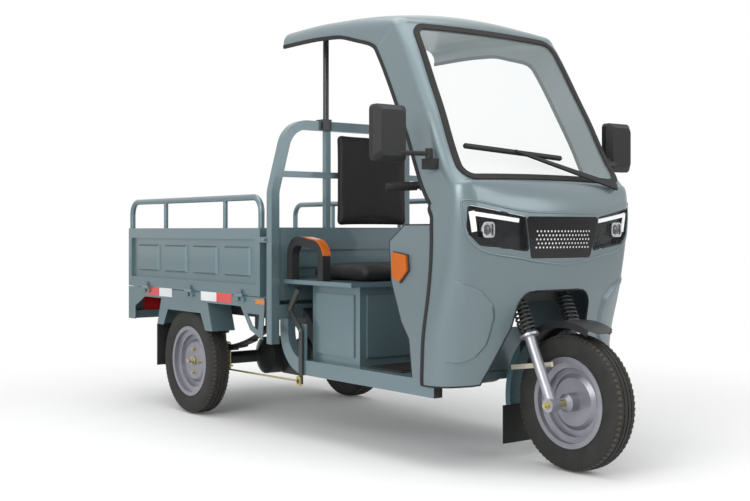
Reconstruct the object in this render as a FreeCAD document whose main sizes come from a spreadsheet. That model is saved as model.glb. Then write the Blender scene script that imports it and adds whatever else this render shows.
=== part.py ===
# Cargo tricycle with an open cab, a drop-side bed and a driven rear axle.
# Millimetres; +X forward, +Y left, +Z up; the tyres stand on Z = 0.
import FreeCAD, Part
import Sketcher
import math
import os
import re
from types import SimpleNamespace
from FreeCAD import Placement, Rotation, Vector

SIZES = {
    # wheels and where they stand
    "wheelbase": 2026, "front_axle_x": 1205, "track": 922,
    "tyre_radius": 250, "tyre_wall": 11, "tyre_bead": 12, "bead_rise": 28, "sidewall_bulge": 120,
    "shoulder_drop": 14, "shoulder_half": 46, "tread_half": 41, "tread_drop": 7,
    "groove_width": 5, "groove_depth": 6, "groove_pitch": 18,
    "rim_seat_radius": 152, "rim_flange_radius": 167, "rim_half": 42, "rim_sheet": 3.6,
    "rim_well_radius": 130, "rim_well_half": 14, "rim_seat_run": 20,
    "disc_step_radius": 104, "disc_ring_radius": 88, "disc_rise": 12, "disc_sheet": 4,
    # fits used everywhere
    "run_fit": 0.05, "seat_gap": 0.15, "part_gap": 0.4, "overrun": 2,
    # rear hubs, axle and motor
    "spigot_radius": 22, "spigot_out": 8, "shaft_radius": 15, "shaft_thread": 10,
    "shaft_nut_out": 26, "drum_radius": 85, "drum_wall": 8, "drum_depth": 46, "drum_back": 12,
    "stud_circle": 55, "stud_radius": 5, "stud_out": 26, "stud_hole": 5.5,
    "nut_radius": 9.5, "nut_length": 10, "shaft_nut_radius": 18, "shaft_nut_length": 12,
    "axle_tube_radius": 30, "axle_tube_bore": 20, "axle_end_gap": 2, "bearing_land": 30, "plate_sheet": 5,
    "diff_radius": 92, "diff_half": 72, "diff_wall": 9, "diff_cone": 40, "shaft_inner_y": 40,
    "motor_radius": 82, "motor_length": 170, "motor_ahead": 190, "motor_lift": 15,
    "motor_rib": 5, "motor_rib_gap": 17, "case_width": 46, "case_height": 168, "case_margin": 30,
    "spring_seat_lift": 12, "spring_seat_length": 96,
    # leaf springs and rear shocks
    "spring_y": 330, "leaf_width": 50, "leaf_thick": 7, "spring_half": 400, "spring_camber": 92,
    "eye_radius": 17, "eye_bore": 10, "eye_pin_radius": 9.8, "hanger_sheet": 6,
    "ubolt_radius": 5, "ubolt_spread": 36, "ubolt_plate": 8,
    "shock_y": 250, "shock_behind": 95, "shock_radius": 22, "shock_rod_radius": 8,
    "shock_length": 128, "shock_foot": 24, "bump_travel": 34,
    # chassis under the bed and the cab
    "rail_width": 66, "rail_height": 62, "rail_top": 540, "rail_rear_x": -1405,
    "rail_front_x": -40, "rail_drop_run": 190, "rail_bend": 80, "rail_wall": 4, "rail_nose_x": 790,
    "cross_width": 40, "cross_height": 46, "neck_width": 56, "neck_height": 60,
    "neck_back_x": 600, "neck_knee_x": 812, "neck_knee_z": 560, "head_low": 462, "head_high": 612,
    "head_radius": 30, "head_bore": 22,
    # cab floor, side rails, seat box and seat
    "sill_y": 430, "sill_width": 38, "sill_height": 62, "sill_z": 302, "sill_front_x": 935,
    "tie_length": 36, "tie_play": 2, "tie_height": 20,
    "sill_bend": 150, "sill_rear_top": 500, "floor_sheet": 3, "floor_front_x": 862,
    "box_back_x": 100, "box_front_x": 432, "box_half": 408, "box_sheet": 2.5, "ledge_z": 652,
    "ledge_thick": 18, "ledge_back_x": -34, "ledge_front_x": 456, "ledge_half": 468,
    "hatch_margin": 70, "press_depth": 6, "press_margin": 34,
    "battery_length": 250, "battery_width": 580, "battery_height": 225,
    "seat_back_x": 2, "seat_front_x": 412, "seat_half": 372, "seat_thick": 62, "seat_crown": 18,
    "seat_draw": 14,
    "controller_length": 78, "controller_height": 190, "controller_width": 250,
    "terminal_radius": 7, "terminal_length": 22,
    # headboard hoop, panel, back pad, arm rests and roof struts
    "hoop_x": -61, "hoop_tube": 40, "hoop_half": 505, "hoop_foot_z": 392, "hoop_kink_z": 1045,
    "hoop_top_half": 428, "hoop_top_z": 1338, "hoop_bend": 115, "tube_wall": 2.5,
    "bar_tube": 26, "bar_z": 1122, "upright_y": 225, "belt_z": 876, "belt_tube": 30,
    "panel_sheet": 2.5, "panel_bead": 9, "panel_bead_height": 46, "panel_low_z": 608,
    "pad_half": 202, "pad_low_z": 889, "pad_high_z": 1312, "pad_thick": 44, "pad_crown": 10,
    "pad_draw": 9, "arm_y": 446, "arm_radius": 19, "arm_back_x": 6, "arm_front_x": 236,
    "arm_top_z": 862, "arm_bend": 62, "reflector_thick": 5,
    "reflector_wrap": 88, "strut_y": 247, "strut_radius": 13, "strut_ahead": 26,
    "strut_clamp": 44, "strut_foot_radius": 26, "strut_foot": 8,
    # cargo bed, gates and fenders
    "bed_rear_x": -1438, "bed_front_x": -100, "bed_half": 525, "bed_floor_z": 588,
    "bed_sill_z": 542, "bed_sill_width": 36, "bed_sheet": 3, "gate_thick": 34, "gate_top_z": 889,
    "gate_bar": 50, "gate_post": 34, "gate_sheet": 3, "gate_recess": 14, "gate_lift": 3,
    "gate_front_gap": 36, "gate_press": 9, "gate_press_gap": 62,
    "guard_rail_z": 1024, "guard_rail_radius": 14, "guard_rail_bend": 64,
    "hinge_out": 9, "knuckle_radius": 8, "tailgate_half": 488, "hinge_pin_radius": 4, "knuckle_length": 22,
    "knuckle_gap": 0.6, "hinge_leaf": 3, "hinge_leaf_drop": 26,
    "corner_drop_z": 421, "corner_depth": 78, "corner_sheet": 5, "bumper_tube": 40,
    "tail_lamp_width": 112, "tail_lamp_height": 74, "tail_lamp_depth": 30, "gusset_length": 110,
    "gusset_height": 56,
    "bracket_drop": 138, "bracket_sheet": 4, "bracket_length": 200,
    "fender_y": 520, "fender_depth": 118, "fender_sheet": 3, "fender_low_z": 411,
    "fender_half_top": 234, "fender_half_low": 279, "fender_shift": -14, "arch_half_top": 166,
    "arch_half_low": 213, "arch_drop": 52, "flap_thick": 6, "flap_low_z": 205, "flap_width": 116,
    "latch_z": 838, "latch_width": 24, "peg_radius": 5, "latch_play": 1.5,
    "peg_out": 10, "latch_plate": 3, "latch_height": 44, "guard_post_radius": 11,
    # cab shell openings, glass, seal, lamps and grille
    "skin": 4, "station_pitch": 62, "screen_low_half": 418, "screen_top_half": 372, "screen_low_up": 10,
    "screen_length": 688, "screen_radius": 58, "seal_width": 16, "seal_bite": 9, "seal_proud": 5,
    "seal_depth": 5, "arch_top_z": 656, "arch_top_half": 184, "arch_knee_z": 520, "arch_knee_half": 199,
    "arch_foot_half": 304, "arch_radius": 72, "trim_lip": 3, "trim_bite": 12,
    "lamp_out_half": 426, "lamp_in_half": 194, "lamp_top_out_z": 968, "lamp_top_in_z": 928,
    "lamp_low_out_z": 872, "lamp_chin_half": 376, "lamp_chin_z": 826, "lamp_low_in_half": 166,
    "lamp_low_in_z": 802, "grille_low_half": 156, "grille_low_z": 778, "lamp_radius": 12,
    "lamp_bucket": 30, "lamp_wall": 4, "lens_thick": 4, "lamp_gap": 1.5, "grille_thick": 10,
    "grille_flange": 9, "flange_play": 0.8,
    # inner fairing with its side wings and marker lamps
    "shield_x": 858, "shield_sheet": 3, "shield_top_z": 735, "wing_y": 446, "wing_sheet": 4,
    "wing_back_x": 673, "wing_depth": 256, "wing_height": 566, "shield_slot_half": 62,
    "marker_thick": 14, "marker_gap": 0.8, "shield_bead": 10,
    # fork, measured along its leaned legs from the front axle
    "fork_rake": 25, "leg_half": 122, "steer_back": 41, "slider_radius": 20, "stanchion_radius": 15,
    "slider_top": 262, "bore_floor": 34, "lug_radius": 25, "cup_radius": 37, "cup_height": 9,
    "stanchion_low": 96, "yoke_low": 424, "yoke_thick": 30, "yoke_high": 622, "yoke_reach": 27,
    "stem_radius": 13, "stem_top": 888, "bearing_height": 12, "clamp_size": 46,
    "coil_radius": 29.5, "coil_wire": 4, "coil_rest": 1.2,
    "axle_radius": 8, "hub_radius": 34, "hub_half": 62, "hub_bush": 14, "hub_relief": 20,
    "axle_nut_radius": 13, "axle_nut_length": 11, "spacer_radius": 13,
    "guard_radius": 296, "guard_sheet": 2.5, "guard_half": 62, "guard_lip": 22,
    "guard_start": 188, "guard_sweep": 122, "beak_length": 26, "stay_width": 18, "stay_thick": 4,
    "stay_low": 150, "stay_turn": 158, "apron_half": 82, "apron_low_z": 62, "apron_thick": 5,
    "brake_plate_radius": 74, "brake_plate_sheet": 6,
    # handlebar, grips, levers and pedal
    "bar_radius": 11, "bar_centre_half": 112, "bar_sweep": 196, "bar_half": 392, "bar_rise": 12,
    "bar_bend": 56, "grip_radius": 16, "grip_length": 122, "grip_end": 4, "perch_length": 26,
    "perch_radius": 17, "perch_gap": 6, "lever_ahead": 52, "lever_length": 134, "lever_thick": 8,
    "lever_height": 14, "pivot_radius": 4, "pedal_y": -170, "pedal_x": 700, "pedal_width": 62,
    "pedal_length": 118, "pedal_thick": 8, "pedal_lean": 40, "pedal_ear": 5, "pedal_knuckle_radius": 9,
    # hand brake and its rod, beside the right sill
    "brake_y": -456, "brake_x": 80, "brake_z": 458, "brake_plate": 6, "brake_grip_length": 118,
    "brake_grip_radius": 13, "brake_bend_x": -6, "brake_bend_z": 540, "brake_top_x": 66,
    "brake_top_z": 632, "brake_foot_z": 232, "brake_strip": 26, "brake_pin_radius": 6, "pull_radius": 4,
    "pull_rear_x": -640, "pull_rear_y": 395, "pull_drop": 24, "pull_pin_radius": 5, "pull_pin_length": 16,
    "pull_play": 0.6, "pull_slot": 6,
    # mirrors and wiper
    "mirror_x": 884, "mirror_y": 612, "mirror_z": 1226, "mirror_width": 150, "mirror_height": 204,
    "mirror_depth": 46, "mirror_round": 20, "mirror_arm": 9, "clamp_x": 940, "clamp_y": 476,
    "clamp_z": 1118, "clamp_width": 26, "clamp_length": 52, "clamp_height": 38,
    "mirror_pin": 7, "mirror_pin_height": 36, "mirror_glass": 3, "mirror_rim": 9,
    "wiper_y": 322, "wiper_up": -29, "wiper_hover": 18, "wiper_arm_length": 485, "wiper_lean": 17,
    "wiper_blade_length": 480, "wiper_rest": 3, "wiper_blade_lean": 4, "wiper_width": 14, "wiper_thick": 6,
    "wiper_boss_radius": 15, "wiper_boss": 14, "wiper_tip_width": 9,
}

# Sections of the cab shell from the foot of the nose over the screen to the tail of the roof:
# place and tilt of the middle, radius of its bow, half width, depth of the sides, corner radius.
CAB_COLUMNS = ("x", "z", "tilt", "bow", "half", "depth", "corner")
CAB_SECTIONS = {
    "foot": (1052, 312, 0, 1450, 462, 172, 96),
    "shin": (1066, 388, 0, 1450, 464, 184, 107),
    "knee": (1086, 508, 0, 1450, 466, 193, 105),
    "arch": (1110, 600, 0, 1450, 465, 200, 100),
    "chest": (1130, 700, 0, 1450, 464, 205, 95),
    "grille": (1152, 840, 0, 1450, 462, 219, 90),
    "brow": (1160, 940, 10, 1450, 460, 232, 90),
    "crest": (1147, 1000, 20, 1800, 459, 233, 84),
    "shelf": (1118, 1040, 28, 3000, 458, 218, 75),
    "screen_foot": (1081, 1066, 30.6, 6000, 457, 188, 52),
    "screen_mid": (903, 1367, 30.6, 6000, 443, 180, 50),
    "screen_head": (722, 1673, 30.6, 6000, 430, 185, 50),
    "visor": (690, 1712, 45, 3600, 428, 184, 54),
    "eyebrow": (606, 1742, 62, 2200, 428, 160, 60),
    "crown": (480, 1761, 76, 2000, 429, 140, 58),
    "roof": (300, 1775, 86, 1900, 430, 115, 56),
    "rear_roof": (100, 1782, 90, 1900, 431, 112, 55),
    "tail": (-95, 1780, 92, 1900, 431, 110, 55),
}
for section, row in CAB_SECTIONS.items():
    for column, number in zip(CAB_COLUMNS, row):
        SIZES[f"{section}_{column}"] = number

# Outlines as shares of the piece that carries them.
WING_SHARES = ((0.53, 0), (0.50, 0.11), (0.46, 0.25), (0.28, 0.36), (0.05, 0.62), (0, 0.89),
               (0.36, 1), (1, 1), (1, 0))
MARKER_SHARES = ((0.12, 0.66), (0.28, 0.62), (0.47, 0.70), (0.45, 0.80), (0.12, 0.82))
CROSS_SHARES = (0.04, 0.3, 0.62, 0.94)
HINGE_SHARES = (0.17, 0.52, 0.88)
RAIL_POST_SHARES = (0.3, 0.75)
PANEL_BEAD_SHARES = (0.22, 0.5, 0.78)
GATE_PRESS_COUNT = 4
MOTOR_RIB_COUNT = 7
SPRING_LEAF_SHARES = (1, 0.78, 0.56, 0.34)
SHIELD_BEAD_SHARES = (0.14, 0.26, 0.38)
TAIL_HINGE_SHARES = (0.16, 0.84)
BRACKET_SHARES = ((0, 0), (1, 0), (0.92, 1), (0.42, 0.74))
BRACKET_WINDOW_SHARE = 0.5
BEAK_SHARE = 0.55
COIL_TURNS = 9
LOFT_DEGREE = 3

doc = FreeCAD.newDocument("cargo_tricycle")
sheet = doc.addObject("Spreadsheet::Sheet", "sizes")
for line, (alias, number) in enumerate(SIZES.items(), start=1):
    sheet.set(f"A{line}", alias)
    sheet.set(f"B{line}", str(number))
    sheet.setAlias(f"B{line}", alias)
doc.recompute()
size = SimpleNamespace(**{alias: float(sheet.get(alias)) for alias in SIZES})
nodes = []


def value(text):
    """The number that an expression of sheet names comes to."""
    return float(sheet.evalExpression(text))


def linked(text):
    """An expression with its sheet names written as links to the cells."""
    return re.sub(r"[a-z_]+", lambda m: f"sizes.{m[0]}" if m[0] in SIZES else m[0], text)


def bind(thing, links):
    for field, text in links.items():
        thing.setExpression(field, linked(text))
    return thing


def box(name, along_x, along_y, along_z):
    """A block between two limits on each axis."""
    block = doc.addObject("Part::Box", name)
    limits = zip(("Length", "Width", "Height"), "xyz", (along_x, along_y, along_z))
    for side, axis, (low, high) in limits:
        bind(block, {side: f"({high}) - ({low})", f"Placement.Base.{axis}": low})
    return block


TURNS = {"x": Rotation(Vector(0, 1, 0), 90), "y": Rotation(Vector(1, 0, 0), -90),
         "z": Rotation()}


def along(bar, axis, run, centre):
    """Stands a round or hexagonal bar along an axis between two ends."""
    bar.Placement = Placement(Vector(), TURNS[axis])
    low, high = run
    places = dict(zip([letter for letter in "xyz" if letter != axis], centre))
    places[axis] = low
    bind(bar, {"Height": f"({high}) - ({low})"})
    return bind(bar, {f"Placement.Base.{letter}": text for letter, text in places.items()})


def rod(name, axis, radius, run, centre):
    bar = along(doc.addObject("Part::Cylinder", name), axis, run, centre)
    return bind(bar, {"Radius": radius})


def hexagon(name, axis, radius, run, centre):
    bar = doc.addObject("Part::Prism", name)
    bar.Polygon = 6
    return bind(along(bar, axis, run, centre), {"Circumradius": radius})


def fuse(name, pieces):
    whole = doc.addObject("Part::MultiFuse", name)
    whole.Shapes = pieces
    return whole


def cut(name, base, tools):
    rest = doc.addObject("Part::Cut", name)
    rest.Base = base
    rest.Tool = tools[0] if len(tools) == 1 else fuse(f"{name}_tools", tools)
    return rest


def group(name, pieces):
    whole = doc.addObject("Part::Compound", name)
    whole.Links = pieces
    return whole


def mirrored(name, source):
    """The same piece on the other side of the tricycle."""
    twin = doc.addObject("Part::Mirroring", name)
    twin.Source = source
    twin.Normal = Vector(0, 1, 0)
    return twin


def pair(name, right):
    return group(name, [right, mirrored(f"{name}_left", right)])


def shaped(name, shape):
    thing = doc.addObject("Part::Feature", name)
    thing.Shape = shape
    return thing


def node(label, thing):
    """Marks a finished sub-part, which goes to a file under this name."""
    thing.Label = label
    nodes.append(thing)
    return thing


def leaned(thing):
    """Lays a fork piece into the frame of the leaned legs, with the axle at its origin."""
    thing.Placement = Placement(Vector(), Rotation(Vector(0, -1, 0), size.fork_rake))
    return bind(thing, {"Placement.Base.x": "front_axle_x", "Placement.Base.z": "tyre_radius",
                        "Placement.Rotation.Angle": "fork_rake"})


def draw(sketch, corners):
    """A closed outline whose corners follow the sheet. A third and fourth entry of a corner,
    a radius and the sign of its side, turn the stretch to the next corner into an arc."""
    first = sketch.GeometryCount
    points = [Vector(value(corner[0]), value(corner[1]), 0) for corner in corners]
    ends = []
    for number, corner in enumerate(corners):
        start, stop = points[number], points[(number + 1) % len(corners)]
        if len(corner) == 2:
            sketch.addGeometry(Part.LineSegment(start, stop))
            ends.append((1, 2))
            continue
        chord = stop - start
        radius = value(corner[2])
        sagitta = radius - math.sqrt(radius ** 2 - chord.Length ** 2 / 4)
        aside = Vector(-chord.y, chord.x, 0).normalize() * sagitta * corner[3]
        arc = Part.Arc(start, (start + stop) / 2 + aside, stop)
        sketch.addGeometry(arc)
        drawn = sketch.Geometry[first + number]
        ends.append((1, 2) if drawn.StartPoint.distanceToPoint(start) < size.run_fit else (2, 1))
        sketch.addConstraint(Sketcher.Constraint("Radius", first + number, radius))
        sketch.setExpression(f"Constraints[{sketch.ConstraintCount - 1}]", linked(corner[2]))
    for number, corner in enumerate(corners):
        after = (number + 1) % len(corners)
        sketch.addConstraint(Sketcher.Constraint("Coincident", first + number, ends[number][1],
                                                 first + after, ends[after][0]))
        for kind, text in zip(("DistanceX", "DistanceY"), corner[:2]):
            place = Sketcher.Constraint(kind, -1, 1, first + number, ends[number][0], value(text))
            sketch.setExpression(f"Constraints[{sketch.addConstraint(place)}]", linked(text))


def sketched(body, name, plane, outlines):
    sketch = body.newObject("Sketcher::SketchObject", name)
    origin = [part for part in body.Origin.OriginFeatures if part.Role == f"{plane}_Plane"]
    sketch.AttachmentSupport = [(origin[0], "")]
    sketch.MapMode = "FlatFace"
    for outline in outlines:
        draw(sketch, outline)
    return sketch


def turned(name, outlines, grooves=()):
    """A body of revolution about Y: outlines of (radius, y), then grooves cut the same way."""
    body = doc.addObject("PartDesign::Body", name)
    for kind, shapes in (("Revolution", [[line] for line in outlines]), ("Groove", [grooves])):
        for number, shape in enumerate(shapes):
            if not shape:
                continue
            sketch = sketched(body, f"{name}_{kind.lower()}_{number}", "XY", shape)
            turn = body.newObject(f"PartDesign::{kind}", f"{name}_{kind}_{number}")
            turn.Profile = sketch
            turn.ReferenceAxis = (sketch, ["V_Axis"])
            turn.Angle = 360
    return body


def bent_path(points, bend):
    """A wire through the points, its inner corners rounded to the bend radius."""
    edges = []
    here = points[0]
    for before, corner, after in zip(points, points[1:], points[2:]):
        into = (corner - before).normalize()
        out = (after - corner).normalize()
        half = into.getAngle(out) / 2
        reach = bend * math.tan(half)
        start, stop = corner - into * reach, corner + out * reach
        inward = (out - into).normalize()
        middle = corner + inward * (bend / math.cos(half) - bend)
        edges += [Part.LineSegment(here, start).toShape(), Part.Arc(start, middle, stop).toShape()]
        here = stop
    return Part.Wire(edges + [Part.LineSegment(here, points[-1]).toShape()])


def rounded(points, bend):
    """A closed wire through the points with every corner rounded."""
    middle = (points[0] + points[-1]) / 2
    return bent_path([middle, *points, middle], bend)


def round_bar(points, bend, radius):
    """A round bar or, with two points, a straight one."""
    path = bent_path(points, bend)
    ring = Part.Wire(Part.makeCircle(radius, points[0], points[1] - points[0]))
    return path.makePipeShell([ring], True, False)


def flat_bar(points, bend, width, height, side):
    """A bar of rectangular section; side is the direction of its width."""
    ahead = (points[1] - points[0]).normalize()
    across, up = side * (width / 2), ahead.cross(side) * (height / 2)
    start = points[0]
    ring = Part.makePolygon([start + across + up, start - across + up, start - across - up,
                             start + across - up, start + across + up])
    return bent_path(points, bend).makePipeShell([ring], True, False)


# Wheels. Each tyre is a casing, open to the rim, on the seats of a pressed steel rim.
REAR_AXLE_X = "front_axle_x - wheelbase"
BEAD = "rim_seat_radius + seat_gap"
BEAD_HALF = "rim_half - rim_sheet - seat_gap"
SHOULDER = "tyre_radius - shoulder_drop"
TREAD_EDGE = "tyre_radius - tread_drop"
TREAD_ARC = "(tread_half * tread_half + tread_drop * tread_drop) / (2 * tread_drop)"
CASING = "tyre_radius - tyre_wall - groove_depth"
CASING_HALF = "shoulder_half - tyre_wall"


def both_ways(corners):
    """Corners of one half, then their mirror images in reverse."""
    return corners + [(radius, f"-({place})") for radius, place in reversed(corners)]


def tyre(name):
    over_flange = "rim_flange_radius + part_gap"
    casing = [(BEAD, f"-({BEAD_HALF})"), (over_flange, f"-({BEAD_HALF})", "sidewall_bulge", -1),
              (SHOULDER, "-shoulder_half"), (TREAD_EDGE, "-tread_half", TREAD_ARC, -1),
              (TREAD_EDGE, "tread_half"),
              (SHOULDER, "shoulder_half", "sidewall_bulge", -1), (over_flange, BEAD_HALF),
              (BEAD, BEAD_HALF)]
    casing += both_ways([(BEAD, f"{BEAD_HALF} - tyre_bead"), (f"{BEAD} + bead_rise", CASING_HALF),
                         (f"{CASING} - shoulder_drop", CASING_HALF),
                         (CASING, f"{CASING_HALF} - shoulder_drop")])
    grooves = []
    for step in (-1, 0, 1):
        middle = f"{step} * groove_pitch"
        low, high = f"{middle} - groove_width / 2", f"{middle} + groove_width / 2"
        depth, top = "tyre_radius - groove_depth", "tyre_radius + overrun"
        grooves.append([(depth, low), (top, low), (top, high), (depth, high)])
    return turned(name, [casing], grooves)


RIM_BAND = both_ways([("rim_flange_radius", "rim_half"), ("rim_seat_radius - rim_sheet", "rim_half"),
                      ("rim_seat_radius - rim_sheet", "rim_seat_run + rim_sheet / 2"),
                      ("rim_well_radius - rim_sheet", "rim_well_half + rim_sheet / 2")])
RIM_BAND += both_ways([("rim_flange_radius", "rim_sheet - rim_half"),
                       ("rim_seat_radius", "rim_sheet - rim_half"),
                       ("rim_seat_radius", "-rim_seat_run"), ("rim_well_radius", "-rim_well_half")])


def rim_disc(bore):
    """The dished disc, its face to the right, from the rim's well to a bore."""
    edge = "rim_well_radius - rim_sheet / 2"
    return [(edge, "0"), ("disc_step_radius", "0"), ("disc_ring_radius", "-disc_rise"),
            (bore, "-disc_rise"), (bore, "disc_sheet - disc_rise"),
            ("disc_ring_radius + disc_sheet / 2", "disc_sheet - disc_rise"),
            ("disc_step_radius + disc_sheet / 2", "disc_sheet"), (edge, "disc_sheet")]


def standing(body, x, y):
    """Puts a wheel piece on the wheel's centre."""
    return bind(body, {"Placement.Base.x": x, "Placement.Base.y": y, "Placement.Base.z": "tyre_radius"})


def stud_holes(body):
    """Four holes round the disc for the wheel studs."""
    sketch = sketched(body, "stud_hole", "XZ", [])
    sketch.addGeometry(Part.Circle(Vector(size.stud_circle, 0, 0), Vector(0, 0, 1), size.stud_hole))
    for kind, where, text in (("Radius", (0,), "stud_hole"), ("DistanceX", (-1, 1, 0, 3), "stud_circle")):
        mark = sketch.addConstraint(Sketcher.Constraint(kind, *where, value(text)))
        sketch.setExpression(f"Constraints[{mark}]", linked(text))
    sketch.addConstraint(Sketcher.Constraint("PointOnObject", 0, 3, -1))
    hole = body.newObject("PartDesign::Pocket", "stud_pocket")
    hole.Profile = sketch
    hole.Type = "ThroughAll"
    hole.Midplane = True
    ring = body.newObject("PartDesign::PolarPattern", "stud_ring")
    ring.Originals = [hole]
    ring.Axis = (sketch, ["N_Axis"])
    ring.Occurrences = 4
    body.Tip = ring
    return body


HUB = both_ways([("axle_radius + run_fit", "hub_half"), ("hub_relief", "hub_half"),
                 ("hub_radius", "hub_half - hub_bush"), ])
HUB += both_ways([("axle_radius + run_fit", "-hub_half"), ("axle_radius + run_fit", "hub_bush - hub_half"),
                  ("hub_relief", "hub_bush - hub_half")])[1:-1]
node("front_tyre", standing(tyre("front_tyre"), "front_axle_x", "0"))
front_rim = turned("front_rim", [RIM_BAND, rim_disc("hub_relief + disc_sheet"), HUB])
node("front_rim", standing(front_rim, "front_axle_x", "0"))

# The rear wheels: the disc is held by four nuts on the studs of a brake drum, and the half
# shaft that turns the drum runs into the axle.
RIGHT_WHEEL = "-track / 2"
DISC_BACK = "disc_sheet - disc_rise"
SHAFT_END = "track / 2 - shaft_inner_y"
right_tyre = standing(tyre("rear_tyre"), REAR_AXLE_X, RIGHT_WHEEL)
right_rim = turned("rear_rim", [RIM_BAND, rim_disc("spigot_radius + run_fit")])
right_rim = standing(stud_holes(right_rim), REAR_AXLE_X, RIGHT_WHEEL)
SPIGOT_FACE = "-(disc_rise + spigot_out)"
drum = [("0", f"{SPIGOT_FACE} - shaft_nut_out"), ("shaft_thread", f"{SPIGOT_FACE} - shaft_nut_out"),
        ("shaft_thread", SPIGOT_FACE), ("spigot_radius", SPIGOT_FACE), ("spigot_radius", DISC_BACK),
        ("drum_radius", DISC_BACK), ("drum_radius", f"{DISC_BACK} + drum_depth"),
        ("drum_radius - drum_wall", f"{DISC_BACK} + drum_depth"),
        ("drum_radius - drum_wall", f"{DISC_BACK} + drum_back"),
        ("shaft_radius", f"{DISC_BACK} + drum_back"),
        ("shaft_radius", SHAFT_END), ("0", SHAFT_END)]
STUD_AT = [(f"{REAR_AXLE_X} + {dx} * stud_circle", f"tyre_radius + {dz} * stud_circle")
           for dx, dz in ((1, 0), (0, 1), (-1, 0), (0, -1))]
studs = [rod(f"stud_{number}", "y", "stud_radius",
             (f"{RIGHT_WHEEL} - stud_out", f"{RIGHT_WHEEL} + {DISC_BACK} + drum_back / 2"), place)
         for number, place in enumerate(STUD_AT)]
right_hub = fuse("rear_hub", [standing(turned("drum", [drum]), REAR_AXLE_X, RIGHT_WHEEL)] + studs)
NUT_FACE = f"{RIGHT_WHEEL} - disc_rise"
nuts = []
for number, place in enumerate(STUD_AT):
    run = (f"{NUT_FACE} - nut_length", NUT_FACE)
    blank = hexagon(f"nut_blank_{number}", "y", "nut_radius", run, place)
    nuts.append(cut(f"nut_{number}", blank,
                    [rod(f"nut_bore_{number}", "y", "stud_radius + run_fit", run, place)]))
run = (f"{RIGHT_WHEEL} + {SPIGOT_FACE} - shaft_nut_length", f"{RIGHT_WHEEL} + {SPIGOT_FACE}")
place = (REAR_AXLE_X, "tyre_radius")
blank = hexagon("shaft_nut_blank", "y", "shaft_nut_radius", run, place)
nuts.append(cut("shaft_nut", blank, [rod("shaft_nut_bore", "y", "shaft_thread + run_fit", run, place)]))
right_nuts = group("wheel_nuts", nuts)
for label, right in (("rear_tyre", right_tyre), ("rear_rim", right_rim), ("rear_hub", right_hub),
                     ("rear_wheel_nuts", right_nuts)):
    node(f"{label}_right", right)
    node(f"{label}_left", mirrored(f"{label}_left", right))

# Rear axle: a cast housing with the differential in its middle carries the gear case, the seats
# of the leaf springs, the feet of the shocks and the plates behind the drums.
AXLE_END = "track / 2 - disc_sheet + disc_rise - drum_depth - axle_end_gap"
tube_out = both_ways([("axle_tube_radius", AXLE_END), ("axle_tube_radius", "diff_half + diff_cone"),
                      ("diff_radius", "diff_half")])
tube_in = both_ways([("shaft_radius + run_fit", f"-({AXLE_END})"),
                     ("shaft_radius + run_fit", f"bearing_land - ({AXLE_END})"),
                     ("axle_tube_bore", f"bearing_land - ({AXLE_END})"),
                     ("axle_tube_bore", "-(diff_half + diff_cone)"),
                     ("diff_radius - diff_wall", "diff_wall - diff_half")])
housing = [standing(turned("axle_tube", [tube_out + tube_in]), REAR_AXLE_X, "0")]
housing.append(box("gear_case", (f"{REAR_AXLE_X} + diff_radius - diff_wall",
                                 f"{REAR_AXLE_X} + motor_ahead + motor_radius - case_margin"),
                   ("-case_width / 2", "case_width / 2"),
                   ("tyre_radius - case_height / 2", "tyre_radius + case_height / 2")))
SEAT_TOP = "tyre_radius + axle_tube_radius + spring_seat_lift"
for side in (-1, 1):
    seat_y = f"{side} * spring_y"
    housing.append(box(f"spring_seat_{side}", (f"{REAR_AXLE_X} - spring_seat_length / 2",
                                              f"{REAR_AXLE_X} + spring_seat_length / 2"),
                       (f"{seat_y} - leaf_width / 2", f"{seat_y} + leaf_width / 2"),
                       ("tyre_radius + axle_tube_bore + overrun", SEAT_TOP)))
    foot_y = f"{side} * shock_y"
    housing.append(box(f"shock_foot_{side}", (f"{REAR_AXLE_X} - shock_behind - shock_radius",
                                             f"{REAR_AXLE_X} - axle_tube_bore - overrun"),
                       (f"{foot_y} - shock_radius", f"{foot_y} + shock_radius"),
                       ("tyre_radius - shock_foot / 2", "tyre_radius + shock_foot / 2")))
PLATE_OUT, PLATE_IN = f"overrun - ({AXLE_END})", f"overrun + plate_sheet - ({AXLE_END})"
plate_line = [("axle_tube_bore + overrun", PLATE_OUT), ("drum_radius", PLATE_OUT),
              ("drum_radius", PLATE_IN),
              ("axle_tube_bore + overrun", PLATE_IN)]
right_plate = standing(turned("brake_plate", [plate_line]), REAR_AXLE_X, "0")
housing += [right_plate, mirrored("brake_plate_left", right_plate)]
node("rear_axle_housing", fuse("rear_axle_housing", housing))

MOTOR_FACE = "case_width / 2"
motor_line = [("0", MOTOR_FACE), ("motor_radius", MOTOR_FACE)]
for number in range(MOTOR_RIB_COUNT):
    start = f"{MOTOR_FACE} + motor_rib_gap + {number} * (motor_rib + motor_rib_gap)"
    motor_line += [("motor_radius", start), ("motor_radius + motor_rib", start),
                   ("motor_radius + motor_rib", f"{start} + motor_rib"),
                   ("motor_radius", f"{start} + motor_rib")]
motor_line += [("motor_radius", f"{MOTOR_FACE} + motor_length"), ("0", f"{MOTOR_FACE} + motor_length")]
motor = turned("drive_motor", [motor_line])
node("drive_motor", bind(motor, {"Placement.Base.x": f"{REAR_AXLE_X} + motor_ahead",
                                 "Placement.Base.z": "tyre_radius + motor_lift"}))


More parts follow.
